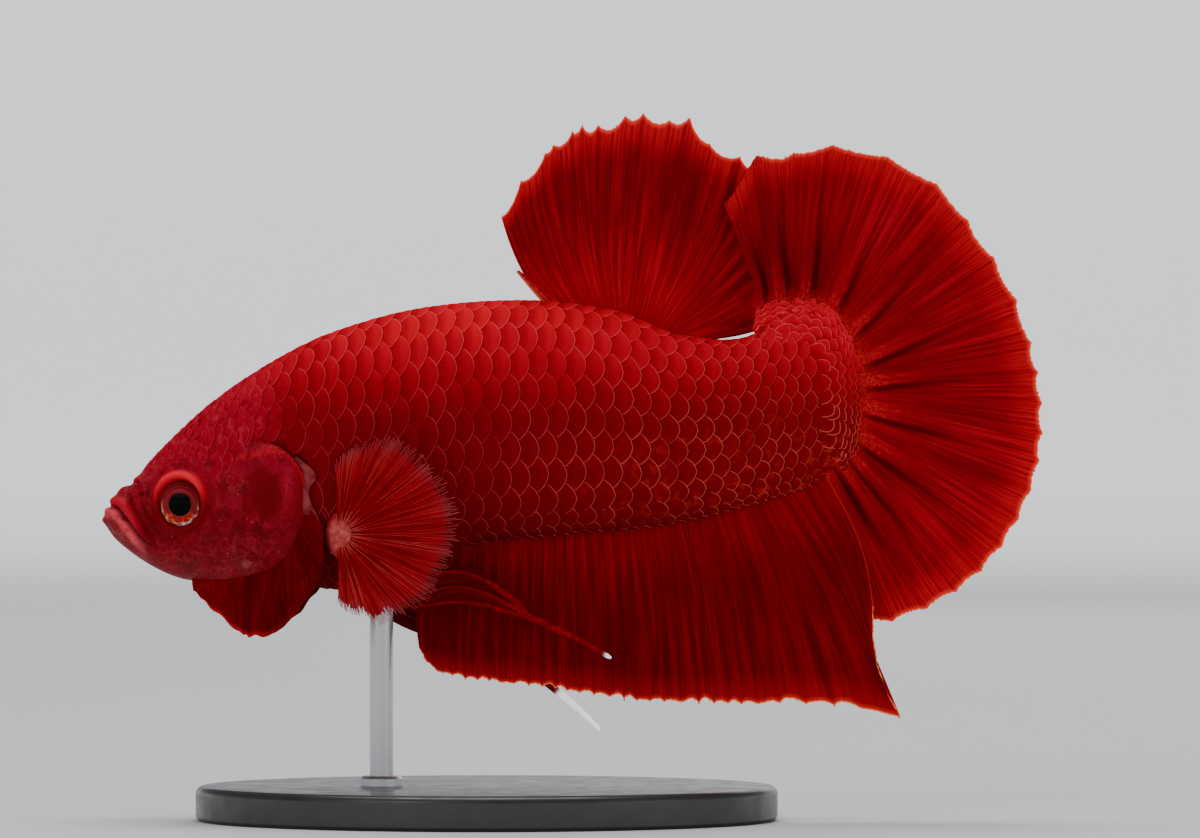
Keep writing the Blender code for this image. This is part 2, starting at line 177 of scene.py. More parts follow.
room_profile = [(r, 0.0) for r in np.linspace(0.0, ROOM_RADIUS, 9)]
room_profile += [
    (ROOM_RADIUS + ROOM_CURVE * math.sin(a), ROOM_CURVE * (1 - math.cos(a)))
    for a in np.linspace(0, math.pi / 2, 13)[1:]
]
room_points = [
    (r * math.cos(a), r * math.sin(a), z)
    for r, z in room_profile for a in np.linspace(0, 2 * math.pi, ROOM_SPOKES + 1)[:-1]
]
room = mesh_object("studio_floor", room_points, grid_faces(len(room_profile), ROOM_SPOKES, closed=True))
floor = Finish("pale_floor", 0.75)
floor.set("Base Color", floor.mix(floor.noise(3.0), (0.74, 0.74, 0.75), (0.78, 0.78, 0.79)))
away = node(floor.tree, "ShaderNodeVectorMath", i0=floor.place)
away.operation = "LENGTH"
floor.set("Emission Color", (0.95, 0.97, 1.0, 1))
floor.set("Emission Strength", floor.times(floor.span(away.outputs["Value"], 0.05, 1.1), 0.85))
room.data.materials.append(floor.material)

world = bpy.data.worlds.new("studio")
world.use_nodes = True
world.node_tree.nodes["Background"].inputs[0].default_value = (0.92, 0.95, 1.0, 1)
world.node_tree.nodes["Background"].inputs[1].default_value = 0.20
bpy.context.scene.world = world

# Each light: name, place, breadth of its soft box, and power in watts.
for name, place, breadth, power in (
    ("light_above", (-20.0, 60.0, 420.0), 260.0, 1.28),
    ("light_front", (-260.0, -420.0, 300.0), 260.0, 0.48),
    ("light_side", (330.0, -260.0, 160.0), 240.0, 0.15),
    ("light_behind", (140.0, 420.0, 240.0), 260.0, 0.35),
):
    lamp = bpy.data.lights.new(name, "AREA")
    lamp.size = breadth * MM
    lamp.energy = power
    held = bpy.data.objects.new(name, lamp)
    bpy.context.scene.collection.objects.link(held)
    held.location = [c * MM for c in place]
    aim = Vector((0.0, 0.0, CAMERA_Z * MM)) - held.location
    held.rotation_euler = aim.to_track_quat("-Z", "Y").to_euler()

lens = bpy.data.cameras.new("camera")
lens.sensor_width = SENSOR
lens.lens = SENSOR * CAMERA_AWAY / VIEW_WIDTH
camera = bpy.data.objects.new("camera", lens)
bpy.context.scene.collection.objects.link(camera)
camera.location = (CAMERA_X * MM, -CAMERA_AWAY * MM, CAMERA_Z * MM)
camera.rotation_euler = (math.pi / 2, 0, 0)
bpy.context.scene.camera = camera


# ---- Skin ------------------------------------------------------------------------------------
# One soft skin from the lips to the end of the tail stalk, thin and moist over bone at the head:
# firm lips, a raised rim round each eye, bony plates on cheek and nape, and a gill cover with a
# free rear edge. It is a loft of oval sections, with the head's relief pressed into it.

COAT = 0.07                # depth of the scales, by which the skin lies inside the solids
UNDER_SCALES = 0.05        # and how much deeper still it lies under their roots
BACK = (
    (-30.0, 19.3), (-29.65, 19.72), (-29.3, 19.85), (-29.2, 20.5), (-29.05, 20.95), (-28.8, 21.22),
    (-28.5, 21.32), (-28.2, 21.40), (-27.95, 21.72), (-26.4, 23.5), (-23.2, 26.5), (-19.4, 29.1),
    (-15.6, 31.0), (-9.8, 32.6), (-2.8, 33.1), (2.8, 32.4), (6.0, 31.1), (9.0, 30.6), (10.8, 30.75),
    (11.8, 31.2), (12.7, 31.95), (13.7, 32.3), (16.2, 32.2),
)
BELLY = (
    (-30.0, 18.9), (-29.1, 17.7), (-26.9, 16.1), (-24.6, 15.2), (-20.0, 15.0), (-14.6, 14.6),
    (-12.5, 14.7), (-10.5, 15.4), (-8.5, 16.6), (-6.9, 17.4), (-0.5, 18.1), (5.8, 18.7),
    (12.1, 20.2), (16.2, 21.4),
)
HALF_WIDTH = (
    (-30.0, 0.8), (-29.0, 1.5), (-27.5, 2.2), (-25.0, 3.0), (-21.5, 3.9), (-18.0, 4.4), (-13.0, 4.4),
    (-7.0, 4.2), (0.0, 3.7), (6.0, 2.9), (12.0, 2.0), (14.2, 1.4), (16.2, 0.65), (17.5, 0.3),
)
WIDEST = ((-30.0, 0.50), (-25.0, 0.52), (-18.0, 0.50), (-8.0, 0.52), (6.0, 0.55), (16.2, 0.50))
SNOUT_X, TAIL_X, TAIL_ROUND = -30.0, 17.5, 2.8
ROUNDNESS = 2.25
COLUMNS = 232              # points round a section; point 0 is under the belly, the left flank comes first


def smooth(stations, at):
    """The smooth curve through (place, value) stations, read at one place or many."""
    place, value = np.array(stations, float).T
    order = np.arange(len(place))
    low, high = np.maximum(order - 1, 0), np.minimum(order + 1, len(place) - 1)
    slope = (value[high] - value[low]) / (place[high] - place[low])
    at = np.clip(at, place[0], place[-1])
    i = np.clip(np.searchsorted(place, at, side="right") - 1, 0, len(place) - 2)
    reach = place[i + 1] - place[i]
    t = (at - place[i]) / reach
    return (
        value[i] * (1 + 2 * t) * (1 - t) ** 2 + slope[i] * reach * t * (1 - t) ** 2
        + value[i + 1] * t * t * (3 - 2 * t) - slope[i + 1] * reach * t * t * (1 - t)
    )


def ease(value, low, high):
    """0 below low, 1 above high, and a soft step between them."""
    t = np.clip((np.asarray(value, float) - low) / (high - low), 0, 1)
    return t * t * (3 - 2 * t)


def fade(value, low, high):
    """1 below low, 0 above high, and a soft step between them."""
    return 1 - ease(value, low, high)


def outline(x):
    """Top, widest line and bottom of the body at x, and how far the end of the stalk has rounded off."""
    top, bottom = smooth(BACK, x), smooth(BELLY, x)
    middle = bottom + (top - bottom) * smooth(WIDEST, x)
    share = np.clip((x - TAIL_X + TAIL_ROUND) / TAIL_ROUND, 0, 1)
    keep = 0.12 + 0.88 * np.sqrt(1 - share * share)
    return middle + (top - middle) * keep, middle, middle - (middle - bottom) * keep, keep


def section(x, columns):
    """Evenly spaced (y, z) points round the body at x: from the belly up the left flank, down the right."""
    top, middle, bottom, keep = outline(x)
    width = float(smooth(HALF_WIDTH, x)) * (0.3 + 0.7 * keep) - COAT
    angle = np.linspace(-math.pi / 2, math.pi / 2, 241)
    c, s = np.cos(angle), np.sin(angle)
    height = np.where(s > 0, top - middle, middle - bottom) - COAT
    y = -width * np.abs(c) ** (2 / ROUNDNESS)
    z = middle + height * np.sign(s) * np.abs(s) ** (2 / ROUNDNESS)
    length = np.concatenate([[0], np.cumsum(np.hypot(np.diff(y), np.diff(z)))])
    half = columns // 2
    even = np.linspace(0, length[-1], half + 1)
    left = np.stack([np.interp(even, length, y), np.interp(even, length, z)], -1)
    right = left[1:-1][::-1] * (-1, 1)
    return np.concatenate([left, right])


head_x = np.arange(SNOUT_X, -16.0, 0.056)
trunk_x = np.arange(-16.0, 14.8, 0.29)
tail_x = TAIL_X - TAIL_ROUND * (1 - np.sin(np.linspace(0, math.pi / 2, 19)))
stations = np.concatenate([head_x, trunk_x, tail_x[tail_x > 14.9][:-1], [TAIL_X - 0.02]])
base = np.empty((len(stations), COLUMNS, 3))
for row, x in enumerate(stations):
    base[row, :, 0] = x
    base[row, :, 1:] = section(x, COLUMNS)


def grid_normals(points, closed=False):
    """Directions square to a grid of points."""
    down = np.gradient(points, axis=0)
    if closed:
        across = (np.roll(points, -1, axis=1) - np.roll(points, 1, axis=1)) / 2
    else:
        across = np.gradient(points, axis=1)
    out = np.cross(across, down)
    return out / np.maximum(np.linalg.norm(out, axis=-1, keepdims=True), 1e-9)


out = grid_normals(base, closed=True)
if (out[:, COLUMNS // 4, 1] > 0).mean() > 0.5:
    out = -out

# Places on the head in side view, as (x, z).
eye_low, eye_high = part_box("eye_left")
EYE_FORWARD, EYE_DOWN = 0.11, 0.20         # how far each ball sits off the middle of its socket
EYE_X = (eye_low.x + eye_high.x) / 2 / MM - EYE_FORWARD
EYE_Z = (eye_low.z + eye_high.z) / 2 / MM - EYE_DOWN
MOUTH = ((-29.9, 19.95), (-29.05, 19.88), (-28.65, 19.5), (-28.1, 18.85), (-27.5, 18.1), (-26.85, 17.45))
LIP_CREASE = (
    (-28.1, 21.6), (-28.32, 21.1), (-28.25, 20.5), (-27.95, 19.8), (-27.45, 19.0), (-26.85, 18.1),
    (-26.45, 17.4),
)
FOLD_CREASE = ((-27.5, 20.7), (-27.25, 19.9), (-26.85, 19.1), (-26.35, 18.3), (-26.0, 17.6))
COVER_FOLD = ((-21.5, 22.7), (-20.9, 23.1), (-20.0, 23.25), (-19.2, 23.45), (-18.4, 23.4), (-17.7, 23.0))
CHIN_CREASE = ((-29.7, 18.75), (-29.3, 18.2), (-28.7, 17.75), (-27.95, 17.3), (-27.0, 16.9))
COVER_EDGE = (
    (-20.3, 24.0), (-19.0, 23.9), (-17.9, 23.2), (-17.2, 22.3), (-16.9, 21.3), (-16.85, 19.8),
    (-17.15, 18.4), (-17.8, 17.1), (-18.8, 16.1), (-20.1, 15.5), (-22.0, 15.2), (-24.3, 15.3),
)
CHEEK_EDGE = ((-20.55, 23.4), (-20.75, 22.0), (-20.8, 20.6), (-20.9, 19.0), (-20.75, 17.6), (-20.1, 16.7))
# Above this line the head carries scales, and behind it the whole body does.
NAPE = (
    (-30.0, 40.0), (-28.0, 30.0), (-27.6, 22.9), (-26.6, 23.1), (-25.0, 23.1), (-23.6, 22.9),
    (-22.3, 22.8), (-21.4, 23.4), (-20.5, 24.3), (-17.6, 23.9), (-16.5, 22.5), (-16.4, 0.0),
)


def line_distance(points, x, z):
    """Distance in side view from each place to a line, its signed side, and how far along it is, 0 to 1."""
    points = np.array(points, float)
    run = np.hypot(*np.diff(points, axis=0).T)
    start = np.concatenate([[0], np.cumsum(run)])
    best = np.full(x.shape, 1e9)
    side, along = np.zeros(x.shape), np.zeros(x.shape)
    for k in range(len(points) - 1):
        dx, dz = points[k + 1] - points[k]
        t = np.clip(((x - points[k, 0]) * dx + (z - points[k, 1]) * dz) / run[k] ** 2, 0, 1)
        away_x, away_z = x - points[k, 0] - t * dx, z - points[k, 1] - t * dz
        distance = np.hypot(away_x, away_z)
        nearer = distance < best
        best = np.where(nearer, distance, best)
        side = np.where(nearer, np.sign(dx * away_z - dz * away_x), side)
        along = np.where(nearer, (start[k] + t * run[k]) / start[-1], along)
    return best, side, along


def rounded(points, count=48):
    """More points along the smooth curve through a few."""
    share = np.linspace(0, 1, len(points))
    at = np.linspace(0, 1, count)
    return np.stack([smooth(np.stack([share, p], -1), at) for p in np.array(points, float).T], -1)


def ridge(distance, width):
    """A soft ridge: 1 on the line, falling off over width."""
    return np.exp(-((distance / width) ** 2))


def cells(u, v, pitch, seed):
    """Irregular plates: how deep each place lies in its plate, 0 at the seams, and the plate's tone."""
    rng = np.random.default_rng(seed)
    gu, gv = np.meshgrid(np.arange(u.min() - pitch, u.max() + pitch, pitch),
                         np.arange(v.min() - pitch, v.max() + pitch, pitch), indexing="ij")
    seeds = np.stack([gu, gv], -1).reshape(-1, 2) + rng.uniform(-0.42, 0.42, (gu.size, 2)) * pitch
    tone = rng.uniform(0, 1, len(seeds))
    depth, plate = np.empty(u.shape), np.empty(u.shape)
    for row in range(len(u)):
        near = seeds[np.abs(seeds[:, 0] - u[row].mean()) < 2.2 * pitch + np.ptp(u[row])]
        picked = tone[np.abs(seeds[:, 0] - u[row].mean()) < 2.2 * pitch + np.ptp(u[row])]
        away = np.hypot(u[row][:, None] - near[:, 0], v[row][:, None] - near[:, 1])
        order = np.argpartition(away, 1, axis=1)[:, :2]
        pair = np.sort(np.take_along_axis(away, order, 1), axis=1)
        depth[row] = (pair[:, 1] - pair[:, 0]) / pitch
        plate[row] = picked[away.argmin(1)]
    return depth, plate


head = stations < -14.5
X, Y, Z = base[head, :, 0], base[head, :, 1], base[head, :, 2]
# How far out to the side, 0 on the midline and 1 at the flank; then the way down from the back's ridge.
flank = np.abs(Y) / np.maximum(np.abs(Y).max(axis=1, keepdims=True), 0.1)
up = np.minimum(np.arange(COLUMNS), COLUMNS - np.arange(COLUMNS)) / (COLUMNS / 2)
girth = np.hypot(*np.diff(base[head, : COLUMNS // 2 + 1, 1:], axis=1).transpose(2, 0, 1)).sum(1)
arc = (1 - up)[None, :] * girth[:, None] * np.sign(Y + 1e-6)

relief = np.zeros(X.shape)
eye_ring = np.hypot((X - EYE_X) / 1.52, (Z - EYE_Z - 0.12) / 1.70)
eye_out = ease(eye_ring, 0.7, 0.98)
relief += 0.34 * ridge(eye_ring - 1.0, 0.16) * (1 + 0.35 * ease(Z, EYE_Z, EYE_Z + 1.6))
relief -= 0.10 * ridge(eye_ring - 1.33, 0.12) * ease(Z, EYE_Z - 2.5, EYE_Z)
relief -= 0.9 * fade(eye_ring, 0.62, 0.93)

mouth, mouth_side, mouth_along = line_distance(rounded(MOUTH), X, Z)
lip_crease, _, _ = line_distance(rounded(LIP_CREASE), X, Z)
chin_crease, _, chin_along = line_distance(rounded(CHIN_CREASE), X, Z)
fold_crease, _, fold_along = line_distance(rounded(FOLD_CREASE), X, Z)
lips = ridge(mouth, 0.85) * fade(X, -27.4, -26.6)
upper_lip = mouth_side > 0
full_lip = np.where(upper_lip, 0.34 * ridge(mouth - 0.36, 0.30), 0.26 * ridge(mouth - 0.32, 0.28))
relief += full_lip * fade(X, -27.7, -26.7)
relief -= 0.34 * ridge(mouth, 0.08) * (1 - 0.5 * ease(mouth_along, 0.7, 1.0))
relief -= 0.17 * ridge(lip_crease, 0.12) * (1 - 0.4 * ease(X, -27.2, -26.5))
relief += 0.10 * ridge(lip_crease - 0.32, 0.18) * (X > -28.4) * fade(mouth_along, 0.95, 1.0)
relief -= 0.10 * ridge(fold_crease, 0.10) * fade(fold_along, 0.85, 1.0) * ease(fold_along, 0.0, 0.2)
relief -= 0.13 * ridge(chin_crease, 0.14) * fade(chin_along, 0.8, 1.0)

cover, cover_side, cover_along = line_distance(rounded(COVER_EDGE, 72), X, Z)
behind = ease(cover_side * cover, -0.03, 0.03)
cover_step = ease(cover_along, 0.0, 0.16) * fade(cover_along, 0.78, 1.0)
relief += 0.30 * (1 - behind) * ridge(np.maximum(cover - 0.12, 0), 0.9) * cover_step
relief -= 0.42 * behind * ridge(cover, 0.55) * cover_step
cheek, cheek_side, _ = line_distance(rounded(CHEEK_EDGE), X, Z)
relief -= 0.07 * ridge(cheek, 0.13)
relief += 0.06 * ridge(np.maximum(cheek - 0.1, 0), 0.35) * (cheek_side < 0)

cover_fold, _, fold_run = line_distance(rounded(COVER_FOLD), X, Z)
knobs = 0.75 + 0.25 * np.sin(9 * X + 3 * Z) * np.cos(4 * X - 7 * Z)
bright_fold = ridge(cover_fold, 0.30) * knobs * ease(fold_run, 0.0, 0.12) * fade(fold_run, 0.88, 1.0)
relief += 0.17 * bright_fold

patch = np.hypot((X + 19.5 + 0.12 * (Z - 20.8)) / (1.15 + 0.14 * (Z - 20.8)), (Z - 20.9) / 2.0)
patch += 0.10 * np.sin(5 * Z) * np.cos(4 * X + Z) + 0.09 * np.sin(2.1 * X + 3.3 * Z)
smooth_patch = fade(patch, 0.60, 1.10)
scaled = ease(Z - smooth(NAPE, X), -0.1, 0.5)
plated = eye_out * (1 - lips) * (1 - smooth_patch) * (1 - behind * ridge(cover, 1.2))
plated = plated * ease(eye_ring, 1.05, 1.35) * (1 - scaled) * fade(X, -18.2, -17.2)
bent_x = X + 0.14 * np.sin(2.7 * arc + 1.1 * X) + 0.06 * np.sin(6.1 * arc)
bent_arc = arc + 0.14 * np.sin(2.9 * X + 0.7 * arc) + 0.06 * np.sin(5.7 * X)
depth, plate_tone = cells(bent_x, bent_arc, 0.74, 5)
forehead = ease(Z, EYE_Z + 0.8, EYE_Z + 2.6)
seam = fade(depth, 0.03, 0.20) * (0.2 + 0.8 * forehead)
dome = np.clip(depth / 0.55, 0, 1)
relief += plated * (0.075 * np.sqrt(dome) - 0.05) * (0.3 + 0.7 * forehead)
relief += plated * 0.025 * (plate_tone - 0.5)

NOSTRILS = ((-27.35, 20.75, 0.14), (-27.65, 21.45, 0.10))
for x, z, radius in NOSTRILS:
    away = np.hypot(X - x, Z - z)
    relief += 0.12 * ridge(away - radius - 0.07, 0.09) - 0.22 * ridge(away, radius * 0.8)
PITS = ((-22.35, 25.05, 0.20), (-23.9, 24.2, 0.10), (-20.9, 25.1, 0.10), (-26.2, 22.1, 0.08))
for x, z, radius in PITS:
    away = np.hypot(X - x, Z - z)
    relief += 0.05 * ridge(away - radius - 0.05, 0.08) - 0.16 * ridge(away, radius * 0.8)

relief *= ease(flank, 0.05, 0.35) * fade(X, -15.6, -14.6) * ease(X, SNOUT_X, SNOUT_X + 0.35)
relief -= 0.30 * ridge(mouth, 0.10) * fade(flank, 0.05, 0.35) * ease(X, SNOUT_X, SNOUT_X + 0.2)

skin_points = base - out * UNDER_SCALES
skin_points[head] += out[head] * (relief + UNDER_SCALES * (1 - scaled))[..., None]
ends = np.array([[SNOUT_X - 0.05, 0, base[0, :, 2].mean()], [TAIL_X, 0, base[-1, :, 2].mean()]])
count = len(stations) * COLUMNS
skin_faces = [face[::-1] for face in grid_faces(len(stations), COLUMNS, closed=True)]
last = count - COLUMNS
skin_faces += [(count, k, (k + 1) % COLUMNS) for k in range(COLUMNS)]
skin_faces += [(count + 1, last + (k + 1) % COLUMNS, last + k) for k in range(COLUMNS)]
skin = mesh_object("skin", np.concatenate([skin_points.reshape(-1, 3), ends]), skin_faces)


def store(piece, name, values):
    """Keeps a value for each point of a mesh, for its material to read."""
    kept = piece.data.attributes.new(name, "FLOAT", "POINT")
    padded = np.zeros(len(piece.data.vertices), np.float32)
    padded[: np.size(values)] = np.ravel(values)
    kept.data.foreach_set("value", padded)


def on_whole(values):
    """Values known on the head only, as values for every point of the skin."""
    whole = np.zeros(base.shape[:2])
    whole[head] = values
    return whole


chin = fade(Z, 15.4, 17.6) * fade(X, -22.5, -18.5)
lower_lip = ridge(mouth - 0.34, 0.34) * (mouth_side < 0) * fade(X, -28.0, -26.9)
jaw = fade(X, -28.2, -25.8) * (mouth_side < 0) * fade(Z, 18.2, 19.8)
jowl = fade(Z, 16.4, 19.0) * fade(X, -20.5, -18.5) * ease(X, -27.0, -25.5)
scars = 0.5 * ridge(np.hypot((X + 21.5 - 0.2 * (Z - 17.4)) / 0.09, (Z - 17.4) / 0.5), 1.0)
scars += 1 - ease(np.hypot((X + 20.75) / 0.40, (Z - 16.35 - 0.3 * np.abs(X + 20.8)) / 0.24), 0.6, 1.0)
breast = ease(X, -17.3, -16.6) * fade(X, -15.4, -14.4) * fade(Z, 15.5, 17.8)
cover_lip = ridge(cover, 0.12) * (1 - behind) * ease(cover_along, 0.45, 0.6) * cover_step
pale = 0.09 * chin + 0.23 * jaw + 0.3 * lower_lip + 0.35 * breast + 0.5 * cover_lip + 0.32 * scars
eye_rim = ridge(eye_ring - 1.02, 0.17) * ease(Z, EYE_Z - 0.4, EYE_Z + 1.8)
edge_line = ridge(cover - 0.08, 0.07) * (1 - behind) * cover_step * fade(cover_along, 0.4, 0.6)
# Painted shade: the mouth's slit, the lip and fold creases, the inside of each eye socket, the cheek's seam
# and the hollow behind the gill cover's edge are darkened as if in shadow.
shaded_creases = 0.65 * ridge(mouth, 0.08) + 0.35 * ridge(lip_crease, 0.10)
shaded_creases = shaded_creases + 0.3 * ridge(fold_crease, 0.09) * fade(fold_along, 0.8, 1.0)
shaded_creases = shaded_creases + 0.15 * ridge(eye_ring - 0.80, 0.08) + 0.2 * ridge(cheek, 0.12)
shaded_creases = shaded_creases + 0.8 * behind * ridge(cover, 0.35) * cover_step
skin_marks = {
    "seam": seam * plated,
    "pale": np.clip(pale, 0, 1),
    "smooth_patch": smooth_patch,
    "rim": np.maximum(eye_rim, np.maximum(0.38 * bright_fold, 0.40 * edge_line)),
    "slot": np.clip(shaded_creases, 0, 1),
    "bone": plate_tone * plated,
    "plated": plated * fade(X, -17.5, -15.5),
    "forehead": plated * ease(Z, EYE_Z - 1.0, EYE_Z + 2.4),
    "red_lip": ridge(mouth - 0.36, 0.34) * upper_lip * fade(X, -28.0, -26.9),
    "pink_lip": lower_lip,
    "jowl": jowl,
}
for mark, values in skin_marks.items():
    store(skin, mark, on_whole(values))

SCARLET, CRIMSON, DEEP = (0.78, 0.004, 0.020), (0.255, 0.0014, 0.009), (0.165, 0.001, 0.006)
ROSE, PALE_PINK, CORAL = (0.42, 0.008, 0.024), (0.50, 0.13, 0.14), (0.62, 0.050, 0.060)


def top_lit_body_red(finish):
    """Starts a finish with the body's red, graded by height as painted light from above: a scarlet back,
    crimson flanks and a deeper belly, softly clouded.
    """
    # Painted light: darker towards the belly and brighter on the back, as if lit from above.
    finish.colour = finish.mix(finish.span(finish.z, 15.0 * MM, 25.0 * MM), DEEP, CRIMSON)
    finish.lay(SCARLET, finish.span(finish.z, 24.5 * MM, 32.5 * MM))
    finish.lay(CRIMSON, finish.clouds(260.0, 4.0, 0.35, 0.75), 0.25)


def plates(finish, size, wide):
    """The seams of small irregular plates, size in millimetres, as lines that fade out at wide."""
    warp = node(finish.tree, "ShaderNodeTexNoise", Vector=finish.place, Scale=0.5 / (size * MM), Detail=2.0)
    shift = node(finish.tree, "ShaderNodeVectorMath", i0=warp.outputs["Color"], i1=(0.9 * size * MM,) * 3)
    shift.operation = "MULTIPLY"
    moved = node(finish.tree, "ShaderNodeVectorMath", i0=finish.place, i1=shift.outputs[0])
    web = node(finish.tree, "ShaderNodeTexVoronoi", Vector=moved.outputs[0], Scale=1 / (size * MM))
    web.feature = "DISTANCE_TO_EDGE"
    return finish.span(web.outputs["Distance"], wide, 0.02)


hide = Finish("moist_skin", 0.5, gloss=0.04)
on_plates = hide.kept("plated")
web = hide.sum("MAXIMUM", plates(hide, 0.62, 0.10), hide.times(plates(hide, 0.34, 0.12), 0.6))
web = hide.times(web, hide.span(hide.kept("forehead"), -0.85, 1.0), on_plates)
top_lit_body_red(hide)
hide.lay(ROSE, hide.kept("bone"), 0.35)
hide.lay((0.62, 0.012, 0.040), hide.kept("forehead"), 0.35)
hide.lay((0.10, 0.001, 0.003), hide.times(hide.clouds(900.0, 6.0, 0.46, 0.64), 0.5), on_plates)
hide.lay(CORAL, hide.kept("seam"), 0.15)
hide.lay((0.66, 0.040, 0.060), web, hide.clouds(1100.0, 4.0, 0.38, 0.62), 0.40)
hide.lay((0.60, 0.075, 0.075), hide.clouds(3600.0, 5.0, 0.66, 0.72), on_plates, 0.5)
hide.lay((0.13, 0.001, 0.004), hide.kept("smooth_patch"), hide.clouds(650.0, 4.0, 0.20, 0.62), 0.5)
broken = hide.times(plates(hide, 0.70, 0.10), hide.clouds(800.0, 4.0, 0.35, 0.60))
hide.lay((0.50, 0.050, 0.060), broken, hide.kept("jowl"), 0.25)
hide.lay((0.98, 0.014, 0.036), hide.kept("rim"))
hide.lay(PALE_PINK, hide.kept("pale"), hide.clouds(900.0, 4.0, 0.25, 0.6))
hide.lay((0.60, 0.010, 0.032), hide.kept("red_lip"), 0.8)
hide.lay((0.98, 0.085, 0.115), hide.kept("pink_lip"), hide.clouds(1800.0, 3.0, 0.1, 0.6), 0.9)
# Painted shade in the creases, slits and hollows.
hide.lay((0.07, 0.001, 0.003), hide.kept("slot"))
hide.set("Roughness", hide.clouds(2500.0, 3.0, -0.2, 1.3))
hide.set("Subsurface Weight", 0.08)
hide.set("Subsurface Radius", (1.0, 0.25, 0.15))
hide.set("Subsurface Scale", 0.4 * MM)
sunk = hide.times(hide.sum("SUBTRACT", 1.0, web), 1.2)
height = hide.sum("ADD", sunk, hide.times(hide.noise(5200.0, 4.0), 0.8))
skin.data.materials.append(hide.finished(height, 0.9, 0.06))
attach(skin, "root")
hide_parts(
    "head", "upper_jaw", "lower_jaw", "gill_cover_left", "gill_cover_right", "trunk", "tail_stalk"
)


# ---- Scales ----------------------------------------------------------------------------------
# Thin bony scales in staggered rows along the body, each with its root in the skin and its paler
# rear rim lying over the roots of the next. They are laid out flat, as on the skin unrolled (along
# the body by round it), and then wrapped on the body; small uneven ones run up the nape.

ROW_HEIGHTS = (0.45, 0.6, 0.75, 0.9, 1.0, 1.0, 1.0, 1.0, 1.0, 1.0, 0.95, 0.9)   # belly to back
SCALE_PITCH = (
    (-28.0, 0.42), (-25.5, 0.50), (-22.0, 0.66), (-20.0, 0.85), (-17.5, 1.05), (-14.0, 1.12),
    (4.0, 1.18), (8.0, 1.10), (12.0, 0.92), (15.0, 0.78), (17.5, 0.55),
)
# Stretches of the body: from, to, rows of scales all round, and how uneven they are.
SCALE_ZONES = (
    (-27.8, -23.4, 48, 0.26), (-23.4, -20.6, 36, 0.22), (-20.6, -16.0, 24, 0.14),
    (-16.0, TAIL_X - 0.1, 24, 0.05),
)
SCALE_OUTLINE = (   # along and across, from the tip of the rear edge round to the root
    (0.54, 0.0), (0.46, 0.24), (0.28, 0.46), (0.02, 0.64), (-0.30, 0.68), (-0.62, 0.50), (-0.80, 0.0),
)


def wrapped(u, v, height):
    """Points on the body at u along it and share v round it, raised by height."""
    i = np.clip(np.searchsorted(stations, u, side="right") - 1, 0, len(stations) - 2)
    s = np.clip((u - stations[i]) / (stations[i + 1] - stations[i]), 0, 1)[:, None]
    turn = (v % 1.0) * COLUMNS
    j = np.floor(turn).astype(int) % COLUMNS
    t, n = (turn - np.floor(turn))[:, None], (j + 1) % COLUMNS
    found = []
    for field in (base, out):
        low = field[i, j] * (1 - t) + field[i, n] * t
        high = field[i + 1, j] * (1 - t) + field[i + 1, n] * t
        found.append(low * (1 - s) + high * s)
    return found[0] + found[1] * height[:, None]


def scale_plate(inner=0.85):
    """One scale in units of its own pitch: +X to the tail, Y across the row, Z out of the skin in mm.

    The part inside the rim is inner times as large as the whole.
    """
    corners = np.array(SCALE_OUTLINE + tuple((a, -b) for a, b in SCALE_OUTLINE[-2:0:-1]))
    along, across = corners.T
    lift = -0.05 + 0.11 * (along + 0.8) / 1.34
    points = [(0.0, 0.0, 0.032)]
    points += [(inner * a, inner * b, h + 0.012) for a, b, h in zip(along, across, lift)]
    points += list(zip(along, across, lift))
    points += [(a, b, h - 0.05) for a, b, h in zip(along, across, lift)]
    points += [(0.0, 0.0, -0.09)]
    n = len(corners)
    faces = [(0, 1 + k, 1 + (k + 1) % n) for k in range(n)]
    for start in (1, 1 + n):
        faces += [
            (start + k, start + n + k, start + n + (k + 1) % n, start + (k + 1) % n) for k in range(n)
        ]
    faces += [(3 * n + 1, 1 + 2 * n + (k + 1) % n, 1 + 2 * n + k) for k in range(n)]
    plate = mesh_object("scale_plate", points, faces, scale=1.0)
    rear = ease(along, -0.15, 0.10)
    store(plate, "rim", np.concatenate([[0.0], 0.0 * rear, rear, rear, [0.0]]))
    # grade runs from the root to the rim; the finish darkens the root end with it, as painted shade under
    # the rim of the scale ahead.
    root_to_rim = ease(along, -0.75, 0.45)
    store(plate, "grade", np.concatenate([[0.5], root_to_rim, root_to_rim, root_to_rim, [0.0]]))
    return plate


def scale_roots():
    """Roots of all scales on the unrolled skin, with the size of each along and across its row."""
    rng = np.random.default_rng(3)
    roots, sizes, tones = [], [], []
    heights = np.array(ROW_HEIGHTS + ROW_HEIGHTS[::-1])
    edges = np.concatenate([[0], np.cumsum(heights)]) / heights.sum()
    for start, stop, rows, uneven in SCALE_ZONES:
        line = np.interp(np.linspace(0, len(heights), rows + 1), np.arange(len(heights) + 1), edges)
        for row, (share, high) in enumerate(zip((line[1:] + line[:-1]) / 2, np.diff(line))):
            small = min(1.0, high * rows + 0.12)
            u = start + (0.5 if row % 2 else 0.0) * float(smooth(SCALE_PITCH, start))
            while u < stop:
                pitch = float(smooth(SCALE_PITCH, u)) * small
                v = share + rng.uniform(-uneven, uneven) * high
                x, y, z = wrapped(np.array([u]), np.array([v]), np.zeros(1))[0]
                if z > smooth(NAPE, u) - 0.3 * (u < -17):
                    size = 1 + rng.uniform(-uneven, uneven)
                    roots.append((u, v, 0.0))
                    sizes.append((pitch * 1.04 * size, high * size * 1.04, 1.0))
                    tones.append(rng.uniform(0, 1))
                u += pitch * (1 + rng.uniform(-uneven, uneven) * 0.5)
    return np.array(roots), np.array(sizes), np.array(tones)


